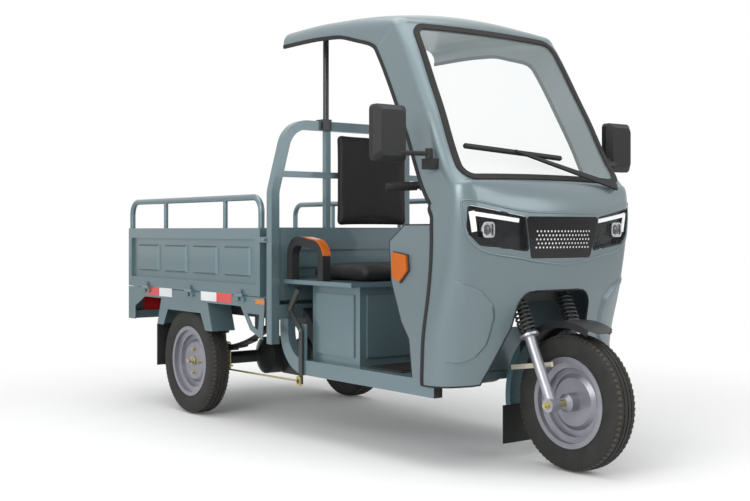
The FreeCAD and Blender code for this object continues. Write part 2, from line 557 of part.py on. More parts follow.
# Leaf springs: arcs about one centre, the longest on top with an eye rolled at each end.
def leaf_spring():
    axle_x = value(REAR_AXLE_X)
    radius = (size.spring_half ** 2 + size.spring_camber ** 2) / (2 * size.spring_camber)
    count = len(SPRING_LEAF_SHARES)
    centre = Vector(axle_x, -size.spring_y - size.leaf_width / 2,
                    value(SEAT_TOP) + size.seat_gap + count * size.leaf_thick + radius)

    def on_arc(reach, angle):
        return centre + Vector(math.sin(angle), 0, -math.cos(angle)) * reach

    leaves = []
    for number, share in enumerate(SPRING_LEAF_SHARES):
        inner = radius + number * size.leaf_thick
        outer = inner + size.leaf_thick
        swing = math.asin(share * size.spring_half / outer)
        edges = [Part.Arc(on_arc(reach, -swing), on_arc(reach, 0), on_arc(reach, swing)).toShape()
                 for reach in (inner, outer)]
        edges += [Part.LineSegment(on_arc(inner, end), on_arc(outer, end)).toShape()
                  for end in (-swing, swing)]
        face = Part.Face(Part.Wire(Part.__sortEdges__(edges)))
        leaves.append(face.extrude(Vector(0, size.leaf_width, 0)))
    main_swing = math.asin(size.spring_half / (radius + size.leaf_thick))
    eyes = [on_arc(radius + size.leaf_thick - size.eye_radius, end) for end in (-main_swing, main_swing)]
    rolls, bores = [[Part.makeCylinder(reach, size.leaf_width, eye, Vector(0, 1, 0)) for eye in eyes]
                    for reach in (size.eye_radius, size.eye_bore)]
    leaves[0] = leaves[0].fuse(rolls).cut(Part.makeCompound(bores)).removeSplitter()
    return Part.makeCompound(leaves), eyes


spring_shape, spring_eyes = leaf_spring()
node("leaf_springs", pair("leaf_springs", shaped("leaf_spring", spring_shape)))

# Two U-bolts a side clamp the spring to its seat, with a plate under the axle.
PACK_TOP = f"{SEAT_TOP} + seat_gap + {len(SPRING_LEAF_SHARES)} * leaf_thick"
PACK_RISE = ("spring_seat_length * spring_seat_length / 4 * spring_camber"
             " / (spring_half * spring_half + spring_camber * spring_camber)")


def u_bolt(side):
    x = value(REAR_AXLE_X) + side * size.ubolt_spread
    low = value("tyre_radius - axle_tube_radius - ubolt_plate - shaft_nut_length")
    top = value(PACK_TOP) + 2 * size.ubolt_radius
    reach = size.leaf_width / 2 + 2 * size.ubolt_radius
    stops = [(-reach, low), (-reach, top), (reach, top), (reach, low)]
    return round_bar([Vector(x, y - size.spring_y, z) for y, z in stops], 2 * size.ubolt_radius,
                     size.ubolt_radius)


PLATE_RUN = (f"{REAR_AXLE_X} - spring_seat_length / 2", f"{REAR_AXLE_X} + spring_seat_length / 2")
bolts = [shaped(f"u_bolt_{side}", u_bolt(side)) for side in (-1, 1)]
bolts.append(box("spring_pad", PLATE_RUN, ("-spring_y - leaf_width / 2", "-spring_y + leaf_width / 2"),
                 (f"{PACK_TOP} + {PACK_RISE} + seat_gap", f"{PACK_TOP} + 2 * ubolt_radius")))
under = box("ubolt_plate", PLATE_RUN,
            ("-spring_y - leaf_width / 2 - 4 * ubolt_radius",
             "-spring_y + leaf_width / 2 + 4 * ubolt_radius"),
            ("tyre_radius - axle_tube_radius - ubolt_plate - seat_gap",
             "tyre_radius - axle_tube_radius - seat_gap"))
node("spring_u_bolts", pair("spring_u_bolts", fuse("u_bolts", bolts + [under])))

# Upright rear shocks: a body under a cross member and a rod that rises from the axle.
SHOCK_X = f"{REAR_AXLE_X} - shock_behind"
CROSS_LOW = "rail_top - cross_height"
SHOCK_LOW = f"{CROSS_LOW} - shock_length - seat_gap"
FOOT_TOP = "tyre_radius + shock_foot / 2"
shock_body = cut("shock_body",
                 rod("shock_tube", "z", "shock_radius", (SHOCK_LOW, f"{CROSS_LOW} - seat_gap"),
                                   (SHOCK_X, "-shock_y")),
                 [rod("shock_bore", "z", "shock_rod_radius + run_fit",
                      (f"{SHOCK_LOW} - overrun", f"{CROSS_LOW} - shock_foot / 2"), (SHOCK_X, "-shock_y"))])
node("rear_shock_bodies", pair("rear_shock_bodies", shock_body))
shock_rod = rod("shock_rod", "z", "shock_rod_radius",
                (f"{FOOT_TOP} + seat_gap", f"{SHOCK_LOW} + shock_length - shock_foot - bump_travel"),
                (SHOCK_X, "-shock_y"))
node("rear_shock_rods", pair("rear_shock_rods", shock_rod))

# Chassis: two rails with cross members, cranked down under the cab, a neck and the head tube.
SILL_TOP = "sill_z + sill_height / 2"
FLOOR_LOW = f"{SILL_TOP} - floor_sheet"
UPPER_Z = "rail_top - rail_height / 2"
LOWER_Z = f"{FLOOR_LOW} - seat_gap - rail_height / 2"
AXIS_BACK = "-steer_back"


def leaned_point(local_x, local_z):
    """A point of the fork's frame in the tricycle's own."""
    turn = Rotation(Vector(0, -1, 0), size.fork_rake)
    return Vector(size.front_axle_x, 0, size.tyre_radius) + turn * Vector(local_x, 0, local_z)


def square_tube(points, bend, width, height, side, wall):
    """A hollow bar of rectangular section."""
    bore = flat_bar(points, bend, width - 2 * wall, height - 2 * wall, side)
    return flat_bar(points, bend, width, height, side).cut(bore)


def rail_stops():
    upper, lower = value(UPPER_Z), value(LOWER_Z)
    stops = [(size.rail_rear_x, upper), (size.rail_front_x, upper),
             (size.rail_front_x + size.rail_drop_run, lower), (size.rail_nose_x, lower)]
    return [Vector(x, -size.spring_y, z) for x, z in stops]


def chassis_rail():
    return square_tube(rail_stops(), size.rail_bend, size.rail_width, size.rail_height, Vector(0, 1, 0),
                       size.rail_wall)


def neck():
    lower = value(LOWER_Z)
    middle = leaned_point(-size.steer_back, (size.head_low + size.head_high) / 2)
    stops = [Vector(size.neck_back_x, 0, lower), Vector(size.rail_nose_x, 0, lower),
             Vector(size.neck_knee_x, 0, size.neck_knee_z), middle]
    return flat_bar(stops, size.rail_bend, size.neck_width, size.neck_height, Vector(0, 1, 0))


rail = shaped("rail_right", chassis_rail())
frame = [rail, mirrored("rail_left", rail), shaped("neck", neck())]
RAIL_IN = "spring_y - rail_width / 2"
for number, share in enumerate(CROSS_SHARES):
    middle = f"rail_rear_x + {share} * (rail_front_x - rail_rear_x)"
    frame.append(box(f"cross_{number}", (f"{middle} - cross_width / 2", f"{middle} + cross_width / 2"),
                     (f"-({RAIL_IN})", RAIL_IN), (CROSS_LOW, "rail_top")))
frame.append(box("shock_cross", (f"{SHOCK_X} - cross_width", f"{SHOCK_X} + cross_width"),
                 (f"-({RAIL_IN})", RAIL_IN), (CROSS_LOW, "rail_top")))
for number, middle in enumerate(("neck_back_x", "rail_front_x + rail_drop_run + cross_width")):
    frame.append(box(f"cab_cross_{number}", (f"{middle} - cross_width / 2", f"{middle} + cross_width / 2"),
                     (f"-({RAIL_IN})", RAIL_IN),
                     (f"{LOWER_Z} - cross_height / 2", f"{LOWER_Z} + cross_height / 2")))
for side in (-1, 1):
    for number, eye in enumerate(spring_eyes):
        plates = []
        for face in (-1, 1):
            middle = side * size.spring_y + face * (size.leaf_width + size.hanger_sheet
                                                    + 2 * size.part_gap) / 2
            plates.append(Part.makeBox(2 * size.eye_radius, size.hanger_sheet, value(UPPER_Z) - eye.z,
                                       Vector(eye.x - size.eye_radius, middle - size.hanger_sheet / 2,
                                              eye.z - size.eye_radius)))
        span = size.leaf_width + 2 * (size.hanger_sheet + size.part_gap)
        pin = Part.makeCylinder(size.eye_pin_radius, span,
                                Vector(eye.x, side * size.spring_y - span / 2, eye.z),
                                Vector(0, 1, 0))
        plates = [hanger.cut(Part.makeBox(4 * size.eye_radius, 4 * size.rail_width, size.rail_height,
                                          Vector(eye.x - 2 * size.eye_radius,
                                                 side * size.spring_y - 2 * size.rail_width,
                                                 value("rail_top - rail_height")))) for hanger in plates]
        frame.append(shaped(f"hanger_{side}_{number}", pin.fuse(plates)))
def leaned_rod(name, radius, run):
    """A bar on the steering axis."""
    return leaned(group(f"{name}_leaned", [rod(name, "z", radius, run, (AXIS_BACK, "0"))]))


frame.append(leaned_rod("head_tube", "head_radius", ("head_low", "head_high")))
head_bore = leaned_rod("head_bore", "head_bore", ("head_low - neck_height", "head_high + neck_height"))
node("chassis_frame", cut("chassis_frame", fuse("chassis_parts", frame), [head_bore]))

# Steering bearings: a ring in each end of the head tube.
rings = []
for number, low in enumerate(("head_low", "head_high - bearing_height")):
    run = (low, f"{low} + bearing_height")
    blank = rod(f"bearing_blank_{number}", "z", "head_bore - run_fit / 2", run, (AXIS_BACK, "0"))
    hole = rod(f"bearing_hole_{number}", "z", "stem_radius + run_fit", run, (AXIS_BACK, "0"))
    rings.append(cut(f"bearing_{number}", blank, [hole]))
node("steering_bearings", leaned(group("steering_bearings", rings)))


# Cab side rails: from the headboard down in a wide bend, then forward as the door sill.
def cab_rail():
    stops = [(size.hoop_x, size.sill_rear_top), (size.hoop_x, size.sill_z),
             (size.sill_front_x, size.sill_z)]
    return square_tube([Vector(x, -size.sill_y, z) for x, z in stops], size.sill_bend, size.sill_width,
                       size.sill_height, Vector(0, 1, 0), size.tube_wall)


COWL_IN = "foot_half - skin - tie_play"
SILL_OUT = "sill_y + sill_width / 2"
tie = box("cowl_tie", ("sill_front_x - tie_length", "sill_front_x - tie_length / 4"),
          (f"-({COWL_IN})", f"overrun - ({SILL_OUT})"),
          (f"{SILL_TOP} - tie_height", SILL_TOP))
side_rail = fuse("side_rail", [shaped("cab_rail", cab_rail()), tie])
BRAKE_BRACKET_Y = (f"-({SILL_OUT}) + overrun", f"-({SILL_OUT}) + overrun + brake_plate")
bracket = [box("brake_bracket", ("brake_x - brake_strip", "brake_x + brake_strip"), BRAKE_BRACKET_Y,
               (f"{SILL_TOP} - tube_wall / 2", "brake_z + brake_strip")),
           rod("brake_pin", "y", "brake_pin_radius", ("brake_y - brake_plate", BRAKE_BRACKET_Y[1]),
               ("brake_x", "brake_z"))]
rails = [fuse("side_rail_brake", [side_rail] + bracket), mirrored("side_rail_left", side_rail)]
node("cab_side_rails", group("cab_side_rails", rails))

# Cab floor: a pan between the sills with a turned front lip and two ears for the foot brake.
FLOOR_HALF = "sill_y - sill_width / 2 - seat_gap"
FLOOR_BACK = "rail_front_x + rail_drop_run + rail_bend / 2"
pan = [box("floor_sheet", (FLOOR_BACK, "floor_front_x"), (f"-({FLOOR_HALF})", FLOOR_HALF),
           (FLOOR_LOW, SILL_TOP))]
pan.append(box("floor_lip", ("floor_front_x - floor_sheet", "floor_front_x"),
               (f"-({FLOOR_HALF})", FLOOR_HALF),
               (f"{SILL_TOP} - sill_height / 2", SILL_TOP)))
PEDAL_Z = f"{SILL_TOP} + 2 * pedal_knuckle_radius"
pan.append(rod("pedal_pin", "y", "pivot_radius", ("pedal_y - pedal_width / 2 - part_gap - pedal_ear",
                                                  "pedal_y + pedal_width / 2 + part_gap + pedal_ear"),
               ("pedal_x", PEDAL_Z)))
for side in (-1, 1):
    run = (f"pedal_y + {side} * (pedal_width / 2 + part_gap)",
           f"pedal_y + {side} * (pedal_width / 2 + part_gap + pedal_ear)")
    pan.append(box(f"pedal_ear_{side}",
                   ("pedal_x - pedal_knuckle_radius", "pedal_x + pedal_knuckle_radius"),
                   sorted(run, key=value), (FLOOR_LOW, f"{PEDAL_Z} + pedal_knuckle_radius")))
neck_hole = box("neck_hole", ("rail_nose_x - rail_bend", "neck_knee_x + neck_height / 2"),
                ("-neck_width / 2 - part_gap", "neck_width / 2 + part_gap"),
                (f"{FLOOR_LOW} - overrun", f"{SILL_TOP} + overrun"))
node("floor_pan", cut("floor_pan", fuse("floor_folded", pan), [neck_hole]))

# Seat box: folded sheet with pressed panels on its front and sides, a ledge on top and a hatch
# under the seat, over the battery.
BOX_LOW = f"{SILL_TOP} + seat_gap"
BOX_TOP = "ledge_z + ledge_thick"
shell = [box("seat_box_outer", ("box_back_x", "box_front_x"), ("-box_half", "box_half"),
             (BOX_LOW, f"{BOX_TOP} - box_sheet / 2")),
         box("ledge", ("ledge_back_x", "ledge_front_x"), ("-ledge_half", "ledge_half"),
             ("ledge_z", BOX_TOP))]
for number, (low,
             high) in enumerate((("-box_half", "-press_margin / 2"), ("press_margin / 2", "box_half"))):
    shell.append(box(f"front_press_{number}", ("box_front_x", "box_front_x + press_depth"),
                     (f"{low} + press_margin", f"{high} - press_margin"),
                     (f"{BOX_LOW} + press_margin", "ledge_z - press_margin")))
for number, (low, high) in enumerate((("-box_half - press_depth", "-box_half"),
                                      ("box_half", "box_half + press_depth"))):
    shell.append(box(f"side_press_{number}", ("box_back_x + press_margin", "box_front_x - press_margin"),
                     (low, high),
                     (f"{BOX_LOW} + press_margin", "ledge_z - press_margin")))
inside = box("seat_box_inside", ("box_back_x + box_sheet", "box_front_x - box_sheet"),
             ("box_sheet - box_half", "box_half - box_sheet"), (f"{BOX_LOW} - overrun", BOX_TOP))
under_ledge = box("ledge_inside", ("ledge_back_x + box_sheet", "ledge_front_x - box_sheet"),
                  ("box_sheet - ledge_half", "ledge_half - box_sheet"),
                  ("ledge_z - overrun", f"{BOX_TOP} - box_sheet"))
HATCH = (("box_back_x + hatch_margin / 2", "box_front_x - hatch_margin"),
         ("hatch_margin - box_half", "box_half - hatch_margin"),
         ("ledge_z - hatch_margin", f"{BOX_TOP} + overrun"))
walls = cut("seat_box_walls", shell[0], [inside])
ledge = cut("ledge_tray", shell[1], [under_ledge])
# The rails drop through the box's back wall, which is cut out round them.
rail_room = shaped("rail_room", flat_bar(rail_stops(), size.rail_bend, size.rail_width + 2 * size.part_gap,
                                         size.rail_height + 2 * size.part_gap, Vector(0, 1, 0)))
node("seat_box", cut("seat_box", fuse("seat_box_sheets", [walls, ledge] + shell[2:]),
                     [box("hatch", *HATCH), rail_room, mirrored("rail_room_left", rail_room)]))

BOX_MIDDLE = "(box_back_x + box_front_x) / 2"
node("battery_pack",
     box("battery_pack", (f"{BOX_MIDDLE} - battery_length / 2", f"{BOX_MIDDLE} + battery_length / 2"),
                         ("-battery_width / 2", "battery_width / 2"),
                         (BOX_LOW, f"{BOX_LOW} + battery_height")))

# Motor controller behind the seat box, under the ledge, with brass terminals on its right end.
CONTROLLER_X = ("box_back_x - part_gap - controller_length", "box_back_x - seat_gap")
CONTROLLER_TOP = f"{BOX_TOP} - box_sheet - seat_gap"
controller_low_y = "part_gap + rail_width / 2 - spring_y + terminal_length"
block = box("controller_case", CONTROLLER_X, (controller_low_y, f"{controller_low_y} + controller_width"),
            (f"{CONTROLLER_TOP} - controller_height", CONTROLLER_TOP))
terminals = [rod(f"terminal_{number}", "y", "terminal_radius",
                 (f"{controller_low_y} - terminal_length", controller_low_y),
                 ("box_back_x - controller_length / 2", f"{CONTROLLER_TOP} - {share} * controller_height"))
             for number, share in enumerate((0.3, 0.55, 0.8))]
node("motor_controller", fuse("motor_controller", [block] + terminals))


def cushion(length, width, thick, crown, draw_in):
    """A stuffed pad on a flat back: its sides are drawn in at the seam and its face is crowned."""
    rings = []
    for height, inset in ((0, draw_in), (thick / 2, 0), (thick - crown / 2, draw_in / 2),
                          (thick, 2.5 * draw_in)):
        half_x, half_y, bend = length / 2 - inset, width / 2 - inset, 2 * draw_in
        corners = [Vector(sx * half_x, sy * half_y, height) for sx,
                   sy in ((1, 1), (-1, 1), (-1, -1), (1, -1))]
        rings.append(rounded(corners, bend))
    return Part.makeLoft(rings, True, False)


# Seat: a stuffed cushion on a base board that closes the hatch, hinged along its front edge.
SEAT_LOW = f"{BOX_TOP} + seat_gap"
seat_length, seat_width = size.seat_front_x - size.seat_back_x, 2 * size.seat_half
seat_shape = cushion(seat_length, seat_width, size.seat_thick, size.seat_crown, size.seat_draw)
seat_shape.translate(Vector((size.seat_front_x + size.seat_back_x) / 2, 0, value(SEAT_LOW)))
node("seat_cushion", shaped("seat_cushion", seat_shape))


# Headboard: a hoop of square tube with a cross bar, two uprights and a belt tube, and a beaded
# sheet welded below the belt.
def hoop():
    right = [(-size.hoop_half, size.hoop_foot_z), (-size.hoop_half, size.hoop_kink_z),
             (-size.hoop_top_half, size.hoop_top_z)]
    left = [(-y, z) for y, z in reversed(right)]
    return square_tube([Vector(size.hoop_x, y, z) for y, z in right + left], size.hoop_bend, size.hoop_tube,
                       size.hoop_tube, Vector(1, 0, 0), size.tube_wall)


def hoop_half_at(z):
    """Half width to the middle of the hoop's tube at a height above its kink."""
    share = (z - size.hoop_kink_z) / (size.hoop_top_z - size.hoop_kink_z)
    return size.hoop_half + share * (size.hoop_top_half - size.hoop_half)


HOOP_FRONT = "hoop_x + hoop_tube / 2"
HOOP_BACK = "hoop_x - hoop_tube / 2"
HOOP_IN = "hoop_half - hoop_tube / 2"
hoop_pieces = [shaped("hoop", hoop())]
bar_end = hoop_half_at(size.bar_z)
hoop_pieces.append(shaped("hoop_bar", Part.makeBox(size.bar_tube, 2 * bar_end, size.bar_tube,
                                                   Vector(size.hoop_x - size.bar_tube / 2, -bar_end,
                                                          size.bar_z - size.bar_tube / 2))))
for side in (-1, 1):
    hoop_pieces.append(box(f"upright_{side}", ("hoop_x - bar_tube / 2", "hoop_x + bar_tube / 2"),
                           (f"{side} * upright_y - bar_tube / 2", f"{side} * upright_y + bar_tube / 2"),
                           ("belt_z", "hoop_top_z")))
    hoop_pieces.append(box(f"peg_block_{side}", (f"{HOOP_BACK} - gate_front_gap / 2", "hoop_x"),
                           (f"{side} * hoop_half - hoop_tube / 4", f"{side} * hoop_half + hoop_tube / 4"),
                           ("latch_z - latch_width / 2", "latch_z + latch_width / 2")))
    peg_run = sorted((f"{side} * hoop_half", f"{side} * (bed_half + peg_out)"), key=value)
    hoop_pieces.append(rod(f"peg_{side}", "y", "peg_radius", peg_run,
                           (f"{HOOP_BACK} - gate_front_gap / 4", "latch_z")))
for name, middle in (("belt", "belt_z"), ("foot_bar", "panel_low_z - belt_tube / 2")):
    hoop_pieces.append(box(name, ("hoop_x - belt_tube / 2", "hoop_x + belt_tube / 2"),
                           (f"-({HOOP_IN})", HOOP_IN),
                           (f"{middle} - belt_tube / 2", f"{middle} + belt_tube / 2")))
beam = box("beam_bar", (HOOP_BACK, HOOP_FRONT), (f"-({HOOP_IN})", HOOP_IN),
           ("sill_rear_top", "rail_top + hoop_tube / 2"))
beam_notch = box("beam_notch", (f"{HOOP_BACK} - overrun", f"{HOOP_FRONT} + overrun"),
                 ("-spring_y - rail_width / 2 - part_gap", "part_gap + rail_width / 2 - spring_y"),
                 ("sill_rear_top - overrun", "rail_top + seat_gap"))
hoop_pieces.append(cut("base_beam", beam, [beam_notch, mirrored("beam_notch_left", beam_notch)]))

PANEL_X = ("hoop_x + belt_tube / 2 - panel_sheet", "hoop_x + belt_tube / 2")
panel = [box("panel_flat", PANEL_X, (f"-({HOOP_IN})", HOOP_IN), ("panel_low_z - panel_sheet", "belt_z"))]
for number, share in enumerate(PANEL_BEAD_SHARES):
    middle = f"panel_low_z + {share} * (belt_z - panel_low_z)"
    panel.append(box(f"panel_bead_{number}", (PANEL_X[0], f"{PANEL_X[1]} + panel_bead"),
                     (f"hatch_margin - ({HOOP_IN})", f"{HOOP_IN} - hatch_margin"),
                     (f"{middle} - panel_bead_height / 2", f"{middle} + panel_bead_height / 2")))
node("headboard_frame", fuse("headboard_frame", hoop_pieces + panel))

# Back pad: a stuffed board on the two uprights.
pad_shape = cushion(size.pad_high_z - size.pad_low_z, 2 * size.pad_half, size.pad_thick, size.pad_crown,
                    size.pad_draw)
pad_shape.rotate(Vector(), Vector(0, 1, 0), 90)
pad_shape.translate(Vector(size.hoop_x + size.bar_tube / 2 + size.seat_gap, 0,
                           (size.pad_low_z + size.pad_high_z) / 2))
node("backrest_pad", shaped("backrest_pad", pad_shape))


# Arm rests: a moulded loop on the ledge each side, with an amber reflector over its front bend.
def arm_loop(radius, width):
    low, top = value(BOX_TOP) + size.seat_gap, size.arm_top_z - radius
    stops = [(size.arm_back_x, low), (size.arm_back_x, top), (size.arm_front_x, top - size.arm_bend / 2),
             (size.arm_front_x, low)]
    return flat_bar([Vector(x, -size.arm_y, z) for x, z in stops], size.arm_bend, width, 2 * radius,
                    Vector(0, 1, 0))


arm = arm_loop(size.arm_radius, 2 * size.arm_radius)
node("armrests", pair("armrests", shaped("armrest", arm)))
cover = arm_loop(size.arm_radius + size.reflector_thick, 2 * size.arm_radius)
cover.translate(Vector(0, 0, size.reflector_thick))
over = Part.makeBox(size.arm_front_x, 4 * size.arm_radius, size.arm_top_z,
                    Vector((size.arm_back_x + size.arm_front_x) / 2, -size.arm_y - 2 * size.arm_radius,
                           size.arm_top_z - size.reflector_wrap))
core = arm_loop(size.arm_radius + size.seat_gap, 2 * size.arm_radius + 2 * size.overrun)
core.translate(Vector(0, 0, size.seat_gap))
inner = Part.Face(Part.makePolygon([Vector(x, -size.arm_y - 2 * size.arm_radius, z) for x, z in (
    (size.arm_back_x, value(BOX_TOP)),
    (size.arm_back_x, size.arm_top_z - 2 * size.arm_radius - size.arm_bend / 4),
    (size.arm_front_x - size.arm_bend / 2, size.arm_top_z - 2 * size.arm_radius - size.arm_bend),
    (size.arm_front_x, value(BOX_TOP)),
    (size.arm_back_x, value(BOX_TOP)))])).extrude(Vector(0, 4 * size.arm_radius, 0))
arm_lens = cover.common(over).cut(core).cut(inner).Solids[0]


# Cab shell: one moulding from the foot of the nose to the tail of the roof. Each section is a
# bowed front with rounded corners and two straight sides, lofted along the cab's outline.
def section_places():
    """How far along the cab's outline each named section lies."""
    places, run = {}, 0
    for before, name in zip([None, *CAB_SECTIONS], CAB_SECTIONS):
        if before:
            steps = [getattr(size, f"{name}_{axis}") - getattr(size, f"{before}_{axis}") for axis in "xz"]
            run += math.hypot(*steps)
        places[name] = run
    return places


CAB_PLACES = section_places()


def eased(values):
    """A smooth curve through a value at each section that never swings past its neighbours."""
    places = list(CAB_PLACES.values())
    runs = [after - before for before, after in zip(places, places[1:])]
    rises = [(after - before) / run for before, after, run in zip(values, values[1:], runs)]
    slopes = [rises[0]]
    for run, next_run, rise, next_rise in zip(runs, runs[1:], rises, rises[1:]):
        if rise * next_rise <= 0:
            slopes.append(0)
        else:
            near, far = 2 * next_run + run, next_run + 2 * run
            slopes.append((near + far) / (near / rise + far / next_rise))
    slopes.append(rises[-1])

    def at(place):
        number = max(index for index, start in enumerate(places[:-1]) if index == 0 or start <= place)
        run, share = runs[number], (place - places[number]) / runs[number]
        rest = 1 - share
        return ((1 + 2 * share) * rest ** 2 * values[number] + share * rest ** 2 * run * slopes[number]
                + share ** 2 * (3 - 2 * share) * values[number + 1]
                - share ** 2 * rest * run * slopes[number + 1])

    return at


CAB_CURVES = {column: eased([getattr(size, f"{name}_{column}") for name in CAB_SECTIONS])
              for column in CAB_COLUMNS}


def stations(names):
    """Evenly spaced places from the first named section to the last."""
    start, stop = CAB_PLACES[names[0]], CAB_PLACES[names[-1]]
    count = math.ceil((stop - start) / size.station_pitch)
    return [start + (stop - start) * number / count for number in range(count + 1)]


def cab_section(place, offset):
    """Edges of a section, its surface moved outward by an offset, from the right edge to the left."""
    row = SimpleNamespace(**{column: curve(place) for column, curve in CAB_CURVES.items()})
    tilt = math.radians(row.tilt)
    front = Vector(row.x, 0, row.z)
    ahead = Vector(math.cos(tilt), 0, math.sin(tilt))
    across = Vector(0, 1, 0)

    def at(y, n):
        return front + across * y + ahead * n

    inner = row.half - row.corner
    reach = row.bow - row.corner
    depth = row.bow - math.sqrt(reach ** 2 - inner ** 2)
    lean = math.asin(inner / reach)

    def corner(angle, side):
        radius = row.corner + offset
        return at(side * (inner + radius * math.sin(angle)), -depth + radius * math.cos(angle))

    half_way = (lean + math.pi / 2) / 2
    right, left = [at(side * (row.half + offset), -row.depth) for side in (-1, 1)]
    curves = [Part.LineSegment(right, corner(math.pi / 2, -1)),
              Part.Arc(corner(math.pi / 2, -1), corner(half_way, -1), corner(lean, -1)),
              Part.Arc(corner(lean, -1), at(0, offset), corner(lean, 1)),
              Part.Arc(corner(lean, 1), corner(half_way, 1), corner(math.pi / 2, 1)),
              Part.LineSegment(corner(math.pi / 2, 1), left)]
    return [curve.toShape() for curve in curves]


def lofted(ring_at, names):
    """A solid through rings along the cab, smooth between each named section and the next."""
    faces = []
    for run in zip(names, names[1:]):
        rings = [ring_at(place) for place in stations(run)]
        faces += Part.makeLoft(rings, False, False, False, LOFT_DEGREE).Faces
    faces += [Part.Face(ring_at(CAB_PLACES[name])) for name in (names[0], names[-1])]
    shell = Part.makeShell(faces)
    shell.sewShape()
    solid = Part.makeSolid(shell)
    if solid.Volume < 0:
        solid.reverse()
    return solid


def cab_band(outside, inside, names):
    """The solid between two offsets of the cab's surface."""
    def ring_at(place):
        outer, inner = cab_section(place, outside), cab_section(place, inside)
        ends = [Part.LineSegment(outer[end].Vertexes[end].Point, inner[end].Vertexes[end].Point).toShape()
                for end in (-1, 0)]
        return Part.Wire(Part.__sortEdges__(outer + [ends[0]] + inner + [ends[1]]))

    return lofted(ring_at, names)


def prism(points, bend, push, grow=0):
    """A bar through the shell: a rounded outline, grown by a margin, extruded along a vector."""
    ring = rounded(points, bend)
    if grow:
        ring = ring.makeOffset2D(grow)
    return Part.Face(ring).extrude(push)


def mirrored_points(points):
    return points + [Vector(point.x, -point.y, point.z) for point in reversed(points)]


SCREEN_TILT = math.radians(size.screen_foot_tilt)
SCREEN_OUT = Vector(math.cos(SCREEN_TILT), 0, math.sin(SCREEN_TILT))
SCREEN_UP = Vector(-math.sin(SCREEN_TILT), 0, math.cos(SCREEN_TILT))
SCREEN_FOOT = Vector(size.screen_foot_x, 0, size.screen_foot_z)


def screen_point(y, up, out=0):
    """A point of the windscreen: across, up the glass and out of it."""
    return SCREEN_FOOT + Vector(0, y, 0) + SCREEN_UP * up + SCREEN_OUT * out


def screen_hole(grow=0):
    back = -size.screen_foot_depth
    top = size.screen_low_up + size.screen_length
    half = mirrored_points([screen_point(-size.screen_low_half, size.screen_low_up, back),
                            screen_point(-size.screen_top_half, top, back)])
    return prism(half, size.screen_radius, SCREEN_OUT * 2 * size.screen_foot_depth, grow)


def arch_hole(grow=0):
    back = size.foot_x - size.foot_depth
    sides = [(-size.arch_foot_half, 0), (-size.arch_foot_half, size.foot_z),
             (-size.arch_knee_half, size.arch_knee_z),
             (-size.arch_top_half, size.arch_top_z)]
    return prism(mirrored_points([Vector(back, y, z) for y, z in sides]), size.arch_radius,
                 Vector(2 * size.foot_depth, 0, 0), grow)


LAMP_POINTS = ((-size.lamp_out_half, size.lamp_top_out_z), (-size.lamp_in_half, size.lamp_top_in_z),
               (-size.lamp_low_in_half, size.lamp_low_in_z), (-size.lamp_chin_half, size.lamp_chin_z),
               (-size.lamp_out_half, size.lamp_low_out_z))
GRILLE_POINTS = ((-size.lamp_in_half + 2 * size.lamp_gap, size.lamp_top_in_z),
                 (-size.grille_low_half, size.grille_low_z))


def nose_hole(points, grow=0):
    """A bar along X through the nose."""
    back = size.grille_x - size.grille_depth
    return prism([Vector(back, y, z) for y, z in points], size.lamp_radius,
                 Vector(size.grille_depth + size.lamp_bucket, 0, 0), grow)


def mirrored_shape(shape):
    return shape.mirror(Vector(), Vector(0, 1, 0))


GRILLE_OUTLINE = [(point.y, point.z)
                  for point in mirrored_points([Vector(0, y, z) for y, z in GRILLE_POINTS])]
lamp_hole = nose_hole(LAMP_POINTS, size.lamp_gap)
nose_holes = [arch_hole(), lamp_hole, mirrored_shape(lamp_hole), nose_hole(GRILLE_OUTLINE, size.lamp_gap)]
CAB_BREAKS = ("foot", "screen_foot", "screen_head", "tail")
wiper_boss = Part.makeCylinder(size.wiper_boss_radius, 2 * size.wiper_boss,
                               screen_point(size.wiper_y, size.wiper_up, -size.wiper_boss),
                               SCREEN_OUT)
cab = cab_band(0, -size.skin, CAB_BREAKS).cut(nose_holes + [screen_hole()]).fuse(wiper_boss)
node("cab_shell", shaped("cab_shell", cab))

# Windscreen: curved glass held in a rubber seal that grips the shell's edge as well.
SCREEN_SECTIONS = ("crest", "screen_foot", "screen_head", "eyebrow")
glass = cab_band(0, -size.skin, SCREEN_SECTIONS).common(screen_hole(-size.seal_width / 2))
node("windshield", shaped("windshield", glass))
seal_ring = screen_hole(size.seal_bite).cut(screen_hole(-size.seal_width))
seal = cab_band(size.seal_proud, -size.skin - size.seal_depth, SCREEN_SECTIONS).common(seal_ring)


# Rubber edging on the door edges of the shell, from its foot to the tail of the roof.
def edging_ring(place):
    outer, inner = cab_section(place, size.trim_lip)[0], cab_section(place, -size.skin - size.trim_lip)[0]
    foot, top = outer.Vertexes[0].Point, outer.Vertexes[1].Point
    run = (top - foot).normalize()
    width = inner.Vertexes[0].Point - foot
    low, high = foot - run * size.trim_lip, foot + run * size.trim_bite
    return Part.makePolygon([low, high, high + width, low + width, low])


edge_trim = pair("cab_edge_trim", shaped("edge_trim", lofted(edging_ring, CAB_BREAKS).cut(cab)))
node("cab_rubber_trim",
     group("cab_rubber_trim", [edge_trim, shaped("windshield_seal", seal.cut([cab, glass]))]))

